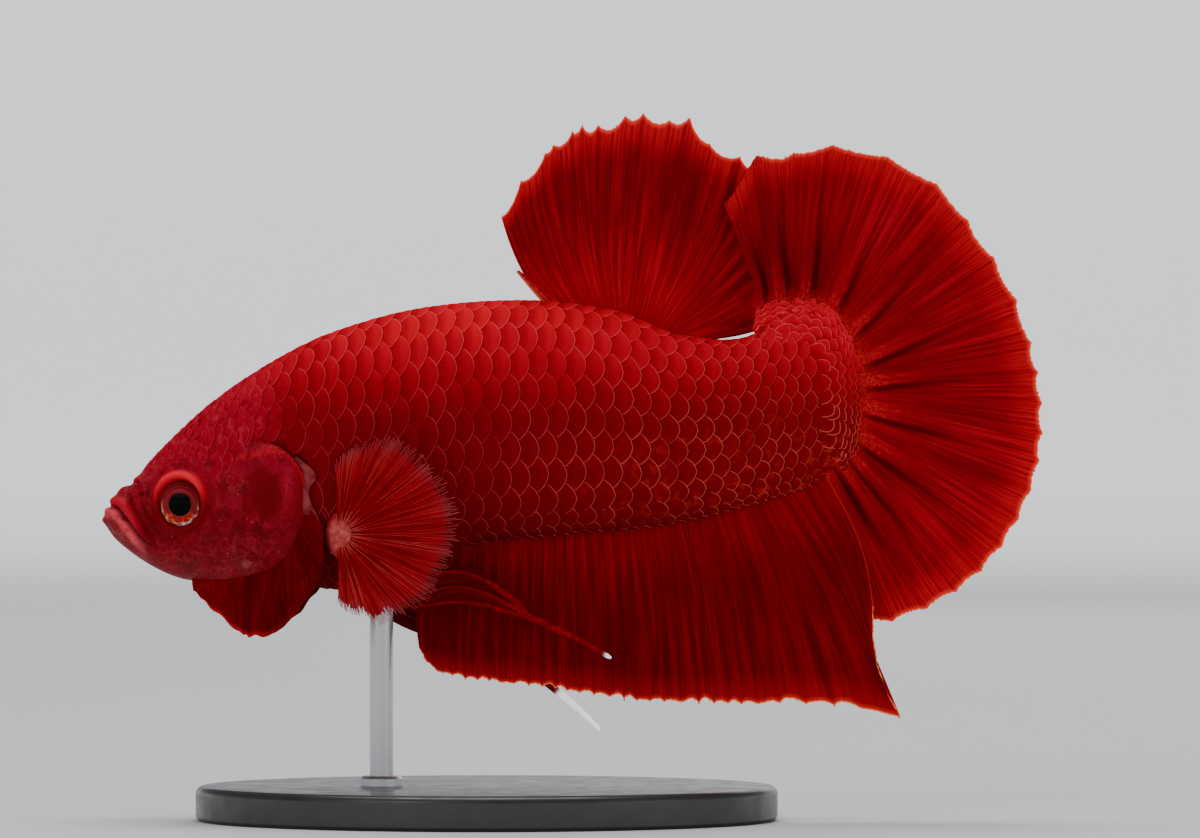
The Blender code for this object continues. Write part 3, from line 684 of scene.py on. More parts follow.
def geometry_group(name, *inputs):
    """A new group with named inputs, each (title, kind), and the sockets that carry them."""
    tree = bpy.data.node_groups.new(name, "GeometryNodeTree")
    for title, kind in (("Geometry", "Geometry"), *inputs, ("Material", "Material")):
        tree.interface.new_socket(name=title, in_out="INPUT", socket_type="NodeSocket" + kind)
    tree.interface.new_socket(name="Geometry", in_out="OUTPUT", socket_type="NodeSocketGeometry")
    return tree, tree.nodes.new("NodeGroupInput").outputs


def group_end(tree, given, geometry):
    """Ends a group: what it made becomes plain mesh and gets its material."""
    real = node(tree, "GeometryNodeRealizeInstances", Geometry=geometry)
    finished = node(tree, "GeometryNodeSetMaterial", Geometry=real.outputs[0], Material=given["Material"])
    tree.links.new(finished.outputs[0], tree.nodes.new("NodeGroupOutput").inputs[0])
    return tree


def named(tree, name, kind):
    """A value stored on the points that a geometry group works on."""
    made = tree.nodes.new("GeometryNodeInputNamedAttribute")
    made.data_type = kind
    made.inputs["Name"].default_value = name
    return made.outputs["Attribute"]


def scatter_group():
    """Sets a plate on every point at the size stored there, and makes one plain mesh of them."""
    tree, given = geometry_group("scatter_plates", ("Plate", "Object"), ("Size factor", "Float"))
    plate = node(tree, "GeometryNodeObjectInfo", Object=given["Plate"])
    factor = node(tree, "ShaderNodeCombineXYZ", X=given["Size factor"], Y=given["Size factor"], Z=1.0)
    stored = named(tree, "size", "FLOAT_VECTOR")
    size = node(tree, "ShaderNodeVectorMath", i0=stored, i1=factor.outputs[0])
    size.operation = "MULTIPLY"
    placed = node(
        tree, "GeometryNodeInstanceOnPoints", Points=given["Geometry"],
        Instance=plate.outputs["Geometry"], Scale=size.outputs[0],
    )
    return group_end(tree, given, placed.outputs[0])


def grown(name, seed_object, tree, **inputs):
    """The plain mesh that a geometry group makes from an object, as a new object; the old one goes."""
    step = seed_object.modifiers.new("grow", "NODES")
    step.node_group = tree
    for socket in tree.interface.items_tree:
        key = socket.name.lower().replace(" ", "_")
        if socket.in_out == "INPUT" and key in inputs:
            step[socket.identifier] = inputs[key]
    seed_object.update_tag()
    bpy.context.view_layer.update()
    depsgraph = bpy.context.evaluated_depsgraph_get()
    mesh = bpy.data.meshes.new_from_object(seed_object.evaluated_get(depsgraph))
    seed_object.modifiers.clear()
    bpy.data.objects.remove(seed_object)
    mesh.name = name
    made = bpy.data.objects.new(name, mesh)
    bpy.context.scene.collection.objects.link(made)
    return made


def read(mesh, name, width=1):
    """A stored attribute of a mesh, as an array."""
    kept = mesh.attributes[name]
    values = np.empty(len(kept.data) * width, np.float32)
    kept.data.foreach_get("vector" if width == 3 else "value", values)
    return values.reshape(-1, width) if width > 1 else values


horn = Finish("scale_red", 0.6, gloss=0.0)
rearward = horn.span(horn.x, -8.0 * MM, 12.0 * MM)
forward = horn.span(horn.x, -17.0 * MM, -21.0 * MM)
top_lit_body_red(horn)
horn.lay(DEEP, horn.kept("tone"), 0.16)
# Painted shade at each scale's root, under the rim of the scale ahead.
horn.lay(DEEP, horn.span(horn.kept("grade"), 0.8, 0.1), 0.42)
mottle = horn.times(horn.clouds(1500.0, 5.0, 0.50, 0.68), rearward)
horn.lay((0.50, 0.028, 0.018), mottle, horn.span(horn.z, 28.0 * MM, 22.0 * MM), 0.45)
horn.lay((0.56, 0.010, 0.034), forward, 0.45)
horn.lay((0.60, 0.030, 0.050), horn.clouds(2600.0, 5.0, 0.52, 0.66), forward, 0.5)
horn.lay((0.12, 0.001, 0.004), horn.clouds(1300.0, 5.0, 0.56, 0.68), forward, 0.5)
clear = horn.sum("MULTIPLY_ADD", rearward, horn.span(horn.z, 31.0 * MM, 22.0 * MM), 0.68)
rim_line = horn.sum("MULTIPLY", horn.span(horn.kept("rim"), 0.25, 0.80), clear, clamp=True)
rim_colour = horn.mix(rearward, (0.62, 0.045, 0.060), (0.60, 0.075, 0.050))
rim_colour = horn.mix(horn.span(horn.z, 27.0 * MM, 31.0 * MM), rim_colour, (0.90, 0.075, 0.095))
horn.lay(rim_colour, rim_line, horn.clouds(420.0, 4.0, 0.22, 0.58))
scale_finish = horn.finished(horn.noise(4200.0, 3.0), 0.35, 0.04)

PATCH = 0.003              # size of one scale's patch on the map
SCALE_REACH = 1.4          # and in the scale's own pitches, a little more than its outline spans
SCALE_CREASE = 40.0        # edges that turn by more degrees than this stay crisp
scale_tree = scatter_group()


def scattered(name, roots, sizes, marks, inner=0.85):
    """Scales on flat roots as one piece, with its points, their roots, and their places in their patches."""
    seeds = mesh_object(name + "_seeds", roots, [], scale=1.0)
    for key, values in (("size", sizes), ("root", roots)):
        kept = seeds.data.attributes.new(key, "FLOAT_VECTOR", "POINT")
        kept.data.foreach_set("vector", values.astype(np.float32).ravel())
    for mark, values in marks.items():
        store(seeds, mark, values)
    plate = scale_plate(inner)
    plate.data.materials.append(scale_finish)
    piece = grown(name, seeds, scale_tree, plate=plate, size_factor=1.0, material=scale_finish)
    bpy.data.objects.remove(plate)
    flat = np.empty(len(piece.data.vertices) * 3)
    piece.data.vertices.foreach_get("co", flat)
    flat = flat.reshape(-1, 3)
    rooted, sized = read(piece.data, "root", 3), read(piece.data, "size", 3)
    local = (flat[:, :2] - rooted[:, :2]) / sized[:, :2] * PATCH / SCALE_REACH
    return piece, flat, rooted, local


def turn_faces(piece, turned_points):
    """Reverses the faces whose points are marked, so that they look outwards."""
    mesh = piece.data
    picked = [p.index for p in mesh.polygons if turned_points[p.vertices[0]]]
    work = bmesh.new()
    work.from_mesh(mesh)
    work.faces.ensure_lookup_table()
    bmesh.ops.reverse_faces(work, faces=[work.faces[i] for i in picked])
    work.to_mesh(mesh)
    work.free()


def laid_on(piece, places, mapped, turned_points=None):
    """Moves scattered scales to their places on the fish, maps them, and keeps their edges crisp."""
    piece.data.vertices.foreach_set("co", (places * MM).ravel())
    corner = np.empty(len(piece.data.loops), np.int32)
    piece.data.loops.foreach_get("vertex_index", corner)
    bake_map = piece.data.uv_layers.new(name="OFBake")
    bake_map.data.foreach_set("uv", mapped[corner].astype(np.float32).ravel())
    for name in ("root", "size"):
        piece.data.attributes.remove(piece.data.attributes[name])
    if turned_points is not None:
        turn_faces(piece, turned_points)
    piece.data.shade_smooth()
    piece.data.set_sharp_from_angle(angle=math.radians(SCALE_CREASE))
    piece.data.update()


roots, sizes, tones = scale_roots()
scales, flat, rooted, local = scattered("scales", roots, sizes, {"tone": tones})
unrolled = np.stack([
    0.02 + 0.96 * (rooted[:, 0] - SNOUT_X) / (TAIL_X - SNOUT_X), 0.02 + 0.96 * (rooted[:, 1] % 1.0),
], -1) + local
laid_on(scales, wrapped(flat[:, 0], flat[:, 1], flat[:, 2]), unrolled)
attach(scales, "root")


# ---- Eyes ------------------------------------------------------------------------------------
# A round ball in each socket: a black pupil in a maroon iris that turns orange below, a thin arc of
# metal round it and a silver spot at the lower rear. The front stands out a little more than the back.

PUPIL, IRIS = 0.70, 1.42
EYE_LEAN = 0.22            # how far the front of each ball leans out towards the tail, with the head's side
gel = Finish("eye_gloss", 0.2, coat=0.03, gloss=0.03, coat_roughness=0.02)
ring, low, ahead = gel.kept("ring"), gel.kept("low"), gel.kept("ahead")
fleck = gel.noise(4200.0, 5.0)
wander = gel.sum("ADD", ring, gel.times(gel.noise(2600.0), 0.10))
circles = node(gel.tree, "ShaderNodeCombineXYZ", X=wander, Y=gel.times(low, 0.25)).outputs[0]
circles = gel.span(gel.noise(1.0, 3.0, circles, (22.0, 1.0, 1.0)), 0.40, 0.65)
gel.colour = gel.mix(circles, (0.17, 0.004, 0.008), (0.36, 0.026, 0.036))
orange = gel.mix(gel.span(fleck, 0.50, 0.66), (0.44, 0.012, 0.008), (0.85, 0.14, 0.03))
gel.lay(orange, gel.span(low, 0.25, 0.85), gel.span(ring, PUPIL + 0.02, PUPIL + 0.30))
metal = gel.mix(gel.span(low, 0.0, 0.8), (0.62, 0.22, 0.08), (0.88, 0.72, 0.62))
metal = gel.mix(gel.span(fleck, 0.60, 0.46), metal, (0.30, 0.05, 0.03))
drawn = gel.sum("SUBTRACT", wander, gel.times(low, 0.07))
gel.lay(metal, gel.span(drawn, 1.12, 1.18), gel.span(drawn, 1.30, 1.24), gel.span(low, -0.35, 0.25))
silver = gel.mix(gel.span(fleck, 0.42, 0.55), (0.42, 0.12, 0.09), (0.82, 0.66, 0.62))
behind_pupil = gel.times(gel.span(low, 0.50, 0.85), gel.span(ahead, 0.30, -0.25))
gel.lay(silver, behind_pupil, gel.times(gel.span(wander, 1.18, 1.27), gel.span(wander, 1.46, 1.40)))
gel.lay((0.16, 0.003, 0.007), gel.span(ring, IRIS, IRIS + 0.07))
gel.lay((0.10, 0.005, 0.004), gel.span(ring, PUPIL + 0.07, PUPIL + 0.02))
gel.lay((0.0012, 0.0012, 0.0012), gel.span(ring, PUPIL + 0.03, PUPIL - 0.01))
gel.set("Base Color", gel.colour)

EYE_RADIUS = 1.46
EYE_FRONT, EYE_BACK = 0.98, 0.8            # how far they reach, as shares of half the solid's depth
EYE_FLATNESS = 0.62        # 1 is an oval ball, and less is blunter
EYE_RINGS, EYE_SPOKES = 40, 64


def capped_faces(rings, spokes):
    """Faces of a closed round solid: its rings of points, then the two points at its ends."""
    total = rings * spokes
    faces = grid_faces(rings, spokes, closed=True)
    faces += [(total, (k + 1) % spokes, k) for k in range(spokes)]
    faces += [(total + 1, total - spokes + k, total - spokes + (k + 1) % spokes) for k in range(spokes)]
    return faces


for side, name in ((-1, "left"), (1, "right")):
    eye_low, eye_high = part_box("eye_" + name)
    middle = [(a + b) / 2 / MM for a, b in zip(eye_low, eye_high)]
    middle[0] -= EYE_FORWARD
    middle[2] -= EYE_DOWN
    deep = (eye_high.y - eye_low.y) / 2 / MM
    fall = np.linspace(0, math.pi, EYE_RINGS + 1)[1:-1]
    turn = np.linspace(0, 2 * math.pi, EYE_SPOKES + 1)[:-1]
    away = EYE_RADIUS * np.sin(fall)
    front_end, back_end = deep * EYE_FRONT, -deep * EYE_BACK
    reach = np.where(np.cos(fall) > 0, front_end, back_end) * np.abs(np.cos(fall)) ** EYE_FLATNESS
    points = [
        (
            middle[0] + r * math.cos(a),
            middle[1] + side * (y + EYE_LEAN * r * math.cos(a)),
            middle[2] + r * math.sin(a),
        )
        for r, y in zip(away, reach) for a in turn
    ]
    points += [(middle[0], middle[1] + side * y, middle[2]) for y in (front_end, back_end)]
    faces = capped_faces(len(fall), EYE_SPOKES)
    if side < 0:
        faces = [f[::-1] for f in faces]
    eye = mesh_object("eyeball_" + name, points, faces)
    aside, over = np.array(points)[:, 0] - middle[0], np.array(points)[:, 2] - middle[2]
    from_pupil = np.hypot(aside, over)
    front = np.append(np.repeat(np.cos(fall) > -0.01, EYE_SPOKES), [True, False])
    store(eye, "ring", np.where(front, from_pupil, 1.6))
    store(eye, "low", -over / np.maximum(from_pupil, 0.05))
    store(eye, "ahead", -aside / np.maximum(from_pupil, 0.05))
    eye.data.materials.append(gel.material)
    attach(eye, "root")
    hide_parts("eye_" + name)


# ---- Tail fin --------------------------------------------------------------------------------
# A rounded fan of soft skin, thin as paper, carried by twelve bundles of bony rays that split again
# and again on their way to a ragged orange edge. The skin is gathered in folds between bundles. Its
# root is thick with the stalk's flesh, and small scales run out over it.

def sheet(name, middle, half, finish, **marks):
    """A thin closed sheet round a grid of middle points, half as thick on each side as given."""
    rows, columns = middle.shape[:2]
    away = grid_normals(middle) * half[..., None]
    total = rows * columns
    index = np.arange(total).reshape(rows, columns)
    border = np.concatenate([index[0, :-1], index[:-1, -1], index[-1, :0:-1], index[:0:-1, 0]])
    after = np.roll(border, -1)
    front = np.array(grid_faces(rows, columns))
    rim = np.stack([after, border, border + total, after + total], -1)
    faces = np.concatenate([front, front[:, ::-1] + total, rim])
    points = np.concatenate([(middle + away).reshape(-1, 3), (middle - away).reshape(-1, 3)])
    made = mesh_object(name, points, faces.tolist())
    for mark, values in marks.items():
        store(made, mark, np.tile(np.broadcast_to(values, (rows, columns)).ravel(), 2))
    made.data.materials.append(finish)
    return made


def ray_group():
    """Turns lines into tubes as thick as the radius stored on their points."""
    tree, given = geometry_group("rays_along_lines", ("Sides", "Int"))
    curve = node(tree, "GeometryNodeMeshToCurve", i0=given["Geometry"])
    profile = node(tree, "GeometryNodeCurvePrimitiveCircle", Resolution=given["Sides"], Radius=1.0)
    tube = node(
        tree, "GeometryNodeCurveToMesh", Curve=curve.outputs[0], Profile_Curve=profile.outputs[0],
        Scale=named(tree, "radius", "FLOAT"), Fill_Caps=True,
    )
    return group_end(tree, given, tube.outputs[0])


ray_tree = ray_group()


def rays(name, lines, radii, finish, sides=6, wart=0.0, rim=0.0, tip=0.0, lit=0.0):
    """Tubes along lines (one row of points each), as thick as radii says, marked for their finish."""
    count, steps = lines.shape[:2]
    first = np.arange(count * steps).reshape(count, steps)
    mesh = bpy.data.meshes.new(name)
    edges = np.stack([first[:, :-1].ravel(), first[:, 1:].ravel()], -1)
    mesh.from_pydata((lines.reshape(-1, 3) * MM).tolist(), edges.tolist(), [])
    seed_object = bpy.data.objects.new(name + "_lines", mesh)
    bpy.context.scene.collection.objects.link(seed_object)
    store(seed_object, "radius", np.asarray(radii) * MM)
    for mark, values in (("wart", wart), ("rim", rim), ("tip", tip), ("lit", lit)):
        store(seed_object, mark, np.broadcast_to(values, (count, steps)))
    made = grown(name, seed_object, ray_tree, sides=sides, material=finish)
    made.data.shade_smooth()
    return made


def branching(bundles, low, high, levels, first_split, shares, last_split=0.86):
    """Angles of the fine rays of each bundle at every share of the way out, and a number for each ray."""
    bundles = np.array(bundles, float)
    bounds = np.concatenate([[low], (bundles[1:] + bundles[:-1]) / 2, [high]])
    bits = np.arange(2 ** levels)
    angles, order = [], []
    for k, centre in enumerate(bundles):
        for bit in bits:
            offset = np.zeros(len(shares))
            for level in range(levels):
                side = 1 if bit >> (levels - 1 - level) & 1 else -1
                split = first_split + (last_split - first_split) * level / levels
                offset += side * 0.5 ** (level + 1) * np.clip((shares - split) / (1 - split), 0, 1) ** 0.9
            reach = np.where(offset > 0, bounds[k + 1] - centre, centre - bounds[k])
            angles.append(centre + offset * reach)
            order.append(bit / len(bits))
    return np.array(angles), np.array(order)


def to_margin(steps, power=1.7):
    """Shares of the way out, closer together towards the margin."""
    return 1 - (1 - np.linspace(0, 1, steps)) ** power


def glow(share, length):
    """How near the margin a place is, from 0 half a millimetre in to 1 at the edge."""
    return ease(share, 1 - 0.5 / length, 1)


def frayed(angle, depth):
    """Small uneven nicks along a margin."""
    nicks = np.abs(np.sin(angle * 2.3 + 2 * np.sin(angle * 0.7))) + 0.6 * np.abs(np.sin(angle * 5.9 + 1))
    return depth * nicks


def scallops(angle, tips, depth):
    """How far the margin is drawn in between its tips."""
    tips = np.array(tips, float)
    k = np.clip(np.searchsorted(tips, angle) - 1, 0, len(tips) - 2)
    share = np.clip((angle - tips[k]) / (tips[k + 1] - tips[k]), 0, 1)
    return depth * (4 * share * (1 - share)) ** 0.8 * np.minimum(1, (tips[k + 1] - tips[k]) / 8.0)


FIN_DEEP, FIN_RED, FIN_RIM = (0.21, 0.0012, 0.008), (0.55, 0.004, 0.017), (1.0, 0.19, 0.075)
RAY_DEEP, RAY_RED, WART = (0.30, 0.002, 0.010), (0.56, 0.006, 0.024), (0.76, 0.034, 0.026)
WART_DEEP = (0.44, 0.006, 0.012)


def warts(finish):
    """The knotty, scaly colour at the roots of the fins."""
    return finish.mix(finish.clouds(5600.0, 4.0, 0.40, 0.65), WART_DEEP, WART)


def streaked(name, deep, bright, rim, roughness=0.6, inner=None):
    """The finish of fin skin: streaks along the rays, painted shade in the folds, and an orange rim with a
    painted glow.

    inner is the clearer red of some fins near the root and inside the rim.
    """
    made = Finish(name, roughness, gloss=0.0)
    share, border = made.kept("share"), made.kept("rim")
    place = node(made.tree, "ShaderNodeCombineXYZ", X=made.kept("across"), Y=share).outputs[0]
    fine = made.noise(1.0, 4.0, place, (6.0, 2.0, 1.0))
    broad = made.noise(1.0, 3.0, place, (0.6, 2.2, 1.0))
    made.colour = made.mix(made.span(fine, 0.32, 0.70), deep, bright)
    made.lay(deep, made.span(broad, 0.62, 0.36), 0.6)
    if inner:
        lit = made.sum("ADD", made.times(made.span(share, 0.82, 1.0), 2.2), made.span(share, 0.45, 0.10))
        made.lay(inner, lit, made.span(fine, 0.20, 0.60), 0.28)
    # Painted shade where a fin's darkness mark says, mostly in its folds and creases.
    made.lay(tuple(0.4 * c for c in deep), made.kept("fold"))
    made.lay(warts(made), made.kept("wart"))
    # A bright band and an orange rim along the edge: partly the fin's own orange margin, partly painted
    # light shining through it.
    band = tuple(0.9 * a + 0.1 * b for a, b in zip(bright, rim))
    made.lay((min(1.0, 1.7 * band[0]), band[1], band[2]), made.span(border, 0.0, 0.7))
    edge = made.span(border, 0.86, 0.98)
    made.lay(rim, edge)
    # Painted glow: the rim gives off light of its own.
    made.set("Emission Color", (*rim, 1))
    made.set("Emission Strength", made.times(edge, 0.35))
    return made.finished(fine, 0.35, 0.05)


def ray_finish(name, deep, bright, rim, tip):
    """The finish of the rays: a little brighter than the skin, knotty where scales reach them, and with a
    painted glow where they are marked lit.
    """
    made = Finish(name, 0.5, gloss=0.0)
    grain = made.noise(3200.0, 4.0)
    made.colour = made.mix(made.span(grain, 0.35, 0.7), deep, bright)
    made.lay(warts(made), made.kept("wart"))
    made.lay(rim, made.kept("rim"))
    made.lay(tip, made.kept("tip"))
    # Painted glow: rays marked lit give off light of their own.
    made.set("Emission Color", (1.0, 0.95, 0.93, 1))
    made.set("Emission Strength", made.times(made.kept("lit"), 0.8))
    return made.finished(grain, 0.5, 0.05)


fin_finish = streaked("fin_skin", FIN_DEEP, FIN_RED, FIN_RIM, inner=(0.84, 0.009, 0.014))
dark_finish = streaked(
    "fin_skin_deep", (0.145, 0.0008, 0.004), (0.32, 0.002, 0.009), FIN_RIM, inner=(0.60, 0.006, 0.010),
)
ray_red = ray_finish("fin_rays", RAY_DEEP, RAY_RED, FIN_RIM, FIN_RIM)
deep_rays = ray_finish("fin_rays_deep", (0.24, 0.001, 0.006), (0.44, 0.005, 0.012), FIN_RIM, FIN_RIM)

CAUDAL_CENTRE = (13.9, 27.4)
CAUDAL_MARGIN = (
    (-71.0, 15.9), (-67.0, 16.2), (-58.5, 16.5), (-44.0, 16.8), (-23.0, 16.6), (-10.0, 16.2), (11.0, 15.5),
    (40.0, 15.4), (55.0, 16.0), (81.0, 15.8), (92.0, 15.0), (99.0, 15.1), (103.0, 14.3),
    (108.5, 12.9), (110.5, 12.7),
)
CAUDAL_TIPS = (
    -75, -67, -58.5, -51, -44, -37, -30, -23, -16.5, -10, -3, 4, 11, 22, 33, 44, 55, 68, 81, 90, 99,
    108.5, 111,
)
CAUDAL_BUNDLES = (-68.5, -57.4, -48.6, -34.9, -14.2, 6.2, 23.3, 45.3, 64.9, 83.4, 97.8, 109.5)
CAUDAL_ROOT = 1.4
CAUDAL_SWAY, CAUDAL_TWIST = 0.9, 12.0
CAUDAL_LOW, CAUDAL_HIGH = -71.0, 110.5


def caudal_place(angle, share, lift=0.0):
    """A point of the tail fin at an angle and share of the way out, the painted shade there, and the bloom
    of knotty colour at the ray roots.
    """
    edge = smooth(CAUDAL_MARGIN, angle) - scallops(angle, CAUDAL_TIPS, 0.30) - frayed(angle, 0.07)
    radius = CAUDAL_ROOT + (edge - CAUDAL_ROOT) * share
    bundles = np.array(CAUDAL_BUNDLES, float)
    turn = 2 * math.pi * np.interp(angle, bundles, np.arange(len(bundles)))
    crest = 0.5 + 0.5 * np.cos(turn)
    strength = ease(share, 0.12, 0.4) * (1 - 0.65 * ease(share, 0.6, 1.0))
    ripple = np.sin(angle * 0.9 + 2.0 * share) * 0.05 * ease(share, 0.3, 0.8)
    turned = np.radians(angle)
    x = CAUDAL_CENTRE[0] + radius * np.cos(turned)
    z = CAUDAL_CENTRE[1] + radius * np.sin(turned)
    twist = np.clip((CAUDAL_CENTRE[1] - z) / CAUDAL_TWIST, -1, 1)
    y = CAUDAL_SWAY * share * twist - 0.42 * (crest - 0.5) * strength + ripple - lift
    x = x - 0.6 * fade(radius, 4.0, 7.5) * ease(angle, 88, 110)
    spacing = np.gradient(bundles)[np.abs(np.asarray(angle)[..., None] - bundles).argmin(-1)]
    nearest = bundles[np.abs(np.asarray(angle)[..., None] - bundles).argmin(-1)]
    off = np.radians(angle - nearest) * radius
    # Painted shade: a shadow along the lower side of each bundle near the root, darker valleys between
    # bundles, and a darker upper part of the fan short of the margin.
    beside = ridge(off + 0.50, 0.26) * (np.abs(angle - nearest) < 0.5 * np.abs(spacing))
    painted_shade = beside * ease(share, 0.1, 0.25) * fade(share, 0.4, 0.85)
    bloom = ridge(off - 0.12, 0.62 - 0.5 * ease(share, 0.1, 0.5)) * fade(share, 0.12, 0.5)
    painted_shade = 0.3 * (1 - crest) * strength * (1 - share) + 0.85 * painted_shade
    painted_shade = painted_shade + 0.3 * ease(angle, 60, 85) * fade(share, 0.85, 1)
    return np.stack(np.broadcast_arrays(x, y, z), -1), painted_shade, bloom


def fin_half(share):
    """Half the thickness of the large fins' skin, at a share of the way out."""
    return 0.10 - 0.06 * share


def border(angle):
    """How far from the fan's centre the body's flesh reaches at an angle."""
    reach = np.arange(2.0, 8.0, 0.04)
    x = CAUDAL_CENTRE[0] + reach * math.cos(math.radians(angle))
    z = CAUDAL_CENTRE[1] + reach * math.sin(math.radians(angle))
    top, _, bottom, _ = outline(np.minimum(x, TAIL_X))
    within = (x < TAIL_X) & (z < top) & (z > bottom)
    return float(reach[within].max()) if within.any() else 2.0


def fleshy(angle, radius, edge):
    """How much thicker the fin is where the flesh of the stalk runs out into it, on each side."""
    sides = ease(angle, CAUDAL_LOW, CAUDAL_LOW + 12) * fade(angle, CAUDAL_HIGH - 14, CAUDAL_HIGH - 2)
    return 0.36 * fade(radius - edge, -0.9, 1.5) * sides


angle, share = np.meshgrid(np.linspace(CAUDAL_LOW, CAUDAL_HIGH, 620), to_margin(76), indexing="ij")
middle, fold, bloom = caudal_place(angle, share)
flesh_edge = np.array([border(a) for a in angle[:, 0]])[:, None]
radius = np.hypot(middle[..., 0] - CAUDAL_CENTRE[0], middle[..., 2] - CAUDAL_CENTRE[1])
haze = fade(radius - flesh_edge, 0.3, 1.9) * ease(angle, -58.0, -40.0)
tail = sheet(
    "tail_fin", middle, fin_half(share) + fleshy(angle, radius, flesh_edge), fin_finish,
    across=np.radians(angle) * 15, share=share, fold=fold, wart=np.maximum(0.8 * bloom, 0.75 * haze),
    rim=glow(share, 18.0) * fade(angle, 97, 101),
)
shares = np.linspace(0.06, 1.0, 34)
angles, order = branching(CAUDAL_BUNDLES, CAUDAL_LOW + 0.5, CAUDAL_HIGH - 0.5, 4, 0.20, shares)
rng = np.random.default_rng(11)
reach = 1 + rng.uniform(-0.006, 0.003, (len(angles), 1))
spread = (order[:, None] - 0.5) * fade(shares, 0.1, 0.7) * 5.5
lines, _, _ = caudal_place(angles + spread, shares * reach)
knots = 1 + 0.30 * rng.uniform(-1, 1, lines.shape[:2]) * fade(shares, 0.2, 0.5)
thick = (0.052 + 0.10 * (1 - shares) ** 2.2 + 0.05 * fade(shares, 0.15, 0.35)) * knots
tail_rays = rays(
    "tail_fin_rays", lines, thick, ray_red, sides=5,
    wart=0.85 * fade(shares, 0.12, 0.5), rim=0.4 * glow(shares, 22.0) * (angles < 97),
)


def half_breadth(x, z):
    """How far the body's flank stands out from the middle at (x, z)."""
    top, centre, bottom, keep = outline(np.minimum(x, TAIL_X))
    width = smooth(HALF_WIDTH, x) * (0.3 + 0.7 * keep) - COAT
    high = np.where(z > centre, top - centre, centre - bottom) - COAT
    inside = 1 - np.clip(np.abs(z - centre) / np.maximum(high, 0.05), 0, 1) ** ROUNDNESS
    return width * inside ** (1 / ROUNDNESS) * (x < TAIL_X)


# Small scales run out over the root of the fin on both sides; here they are laid out by angle and radius.
# Each row: how far past the flesh, size, and the share of its scales that are there.
TAIL_SCALE_ROWS = (
    (-1.55, 0.84, 1.0), (-1.05, 0.80, 1.0), (-0.55, 0.72, 1.0), (-0.10, 0.62, 1.0), (0.28, 0.52, 1.0),
    (0.60, 0.42, 0.85), (0.86, 0.32, 0.45),
)
rng = np.random.default_rng(15)
spots = []
for side in (-1, 1):
    for row, (past, size, kept) in enumerate(TAIL_SCALE_ROWS):
        angle = -60.0 + 4.0 * (row % 2)
        while angle < 112.0:
            edge = border(angle)
            radius = edge + past + rng.uniform(-0.06, 0.06)
            if rng.uniform() < kept and angle > -58.0:
                spots.append((radius, angle, side, edge, size * rng.uniform(0.9, 1.1), rng.uniform()))
            angle += math.degrees(size * 1.05 / radius)
spots = np.array(spots)
radius, angle, side, edge, size, tone = spots.T
tail_scales, flat, rooted, local = scattered(
    "tail_scales", np.stack([radius, np.radians(angle) * radius, 0 * radius], -1),
    np.stack([size, size * 1.1, 0.05 + 0.30 * size], -1),
    {"tone": tone, "side": side, "edge": edge}, inner=0.70,
)
sided, edged = read(tail_scales.data, "side"), read(tail_scales.data, "edge")
angle = np.degrees(rooted[:, 1] / rooted[:, 0] + (flat[:, 1] - rooted[:, 1]) / flat[:, 0])
whole = smooth(CAUDAL_MARGIN, angle)
placed, _, _ = caudal_place(angle, (flat[:, 0] - CAUDAL_ROOT) / (whole - CAUDAL_ROOT))
on_body = half_breadth(placed[:, 0], placed[:, 2])
on_fin = sided * placed[:, 1] + 0.10 + fleshy(angle, flat[:, 0], edged)
SOFT = 4.0                 # how sharply the scales turn from the flank on to the fin
placed[:, 1] = sided * (np.log(np.exp(SOFT * on_body) + np.exp(SOFT * on_fin)) / SOFT + flat[:, 2])
spread_out = np.stack([
    0.25 + 0.03 * rooted[:, 0] * np.cos(rooted[:, 1] / rooted[:, 0]) + 0.25 * (sided + 1),
    0.5 + 0.06 * rooted[:, 0] * np.sin(rooted[:, 1] / rooted[:, 0]),
], -1) + local
laid_on(tail_scales, placed, spread_out, sided > 0)

for piece in (tail, tail_rays, tail_scales):
    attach(piece, "root")
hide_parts("caudal_fin")


# ---- Dorsal fin ------------------------------------------------------------------------------
# A tall sail on the back. Its rays leave the back close together, lean outwards and bend upwards,
# and its upper edge is drawn in between their tips. A short spine stands apart at the front.

# Keyed rays, front to rear: place along the fin, then root and bend as (x, z).
DORSAL_ROOTS = (
    (0.0, -2.0, 32.9, -3.75, 34.9), (0.111, -0.7, 32.9, -3.1, 36.0), (0.222, 0.6, 32.7, -1.5, 36.8),
    (0.333, 1.8, 32.4, 0.2, 37.2), (0.444, 2.4, 32.2, 1.3, 37.4), (0.555, 3.1, 31.9, 3.5, 37.4),
    (0.667, 4.3, 31.6, 6.0, 37.2), (0.778, 5.1, 31.2, 8.9, 36.4), (0.889, 5.6, 30.9, 9.4, 33.9),
    (1.0, 5.9, 30.5, 9.6, 30.35),
)
# Points of the margin: place along the fin, and (x, z).
DORSAL_TIPS = (
    (0.0, -4.70, 38.40), (0.111, -3.45, 40.70), (0.215, -1.88, 42.50), (0.25, -1.35, 43.04),
    (0.315, -0.18, 43.88), (0.36, 0.46, 44.31), (0.43, 1.51, 44.31), (0.51, 3.21, 44.90),
    (0.56, 4.38, 45.05), (0.615, 6.07, 44.60), (0.66, 7.35, 44.80), (0.715, 8.62, 43.10),
    (0.78, 10.53, 42.30), (0.81, 11.3, 41.5), (0.86, 12.1, 39.3), (0.92, 12.4, 36.0), (1.0, 11.95, 31.25),
)
DORSAL_SCALLOP = 0.050     # share of a ray's length by which the margin draws in between tips
DORSAL_PLEATS = 28
DORSAL_SWAY = 0.9


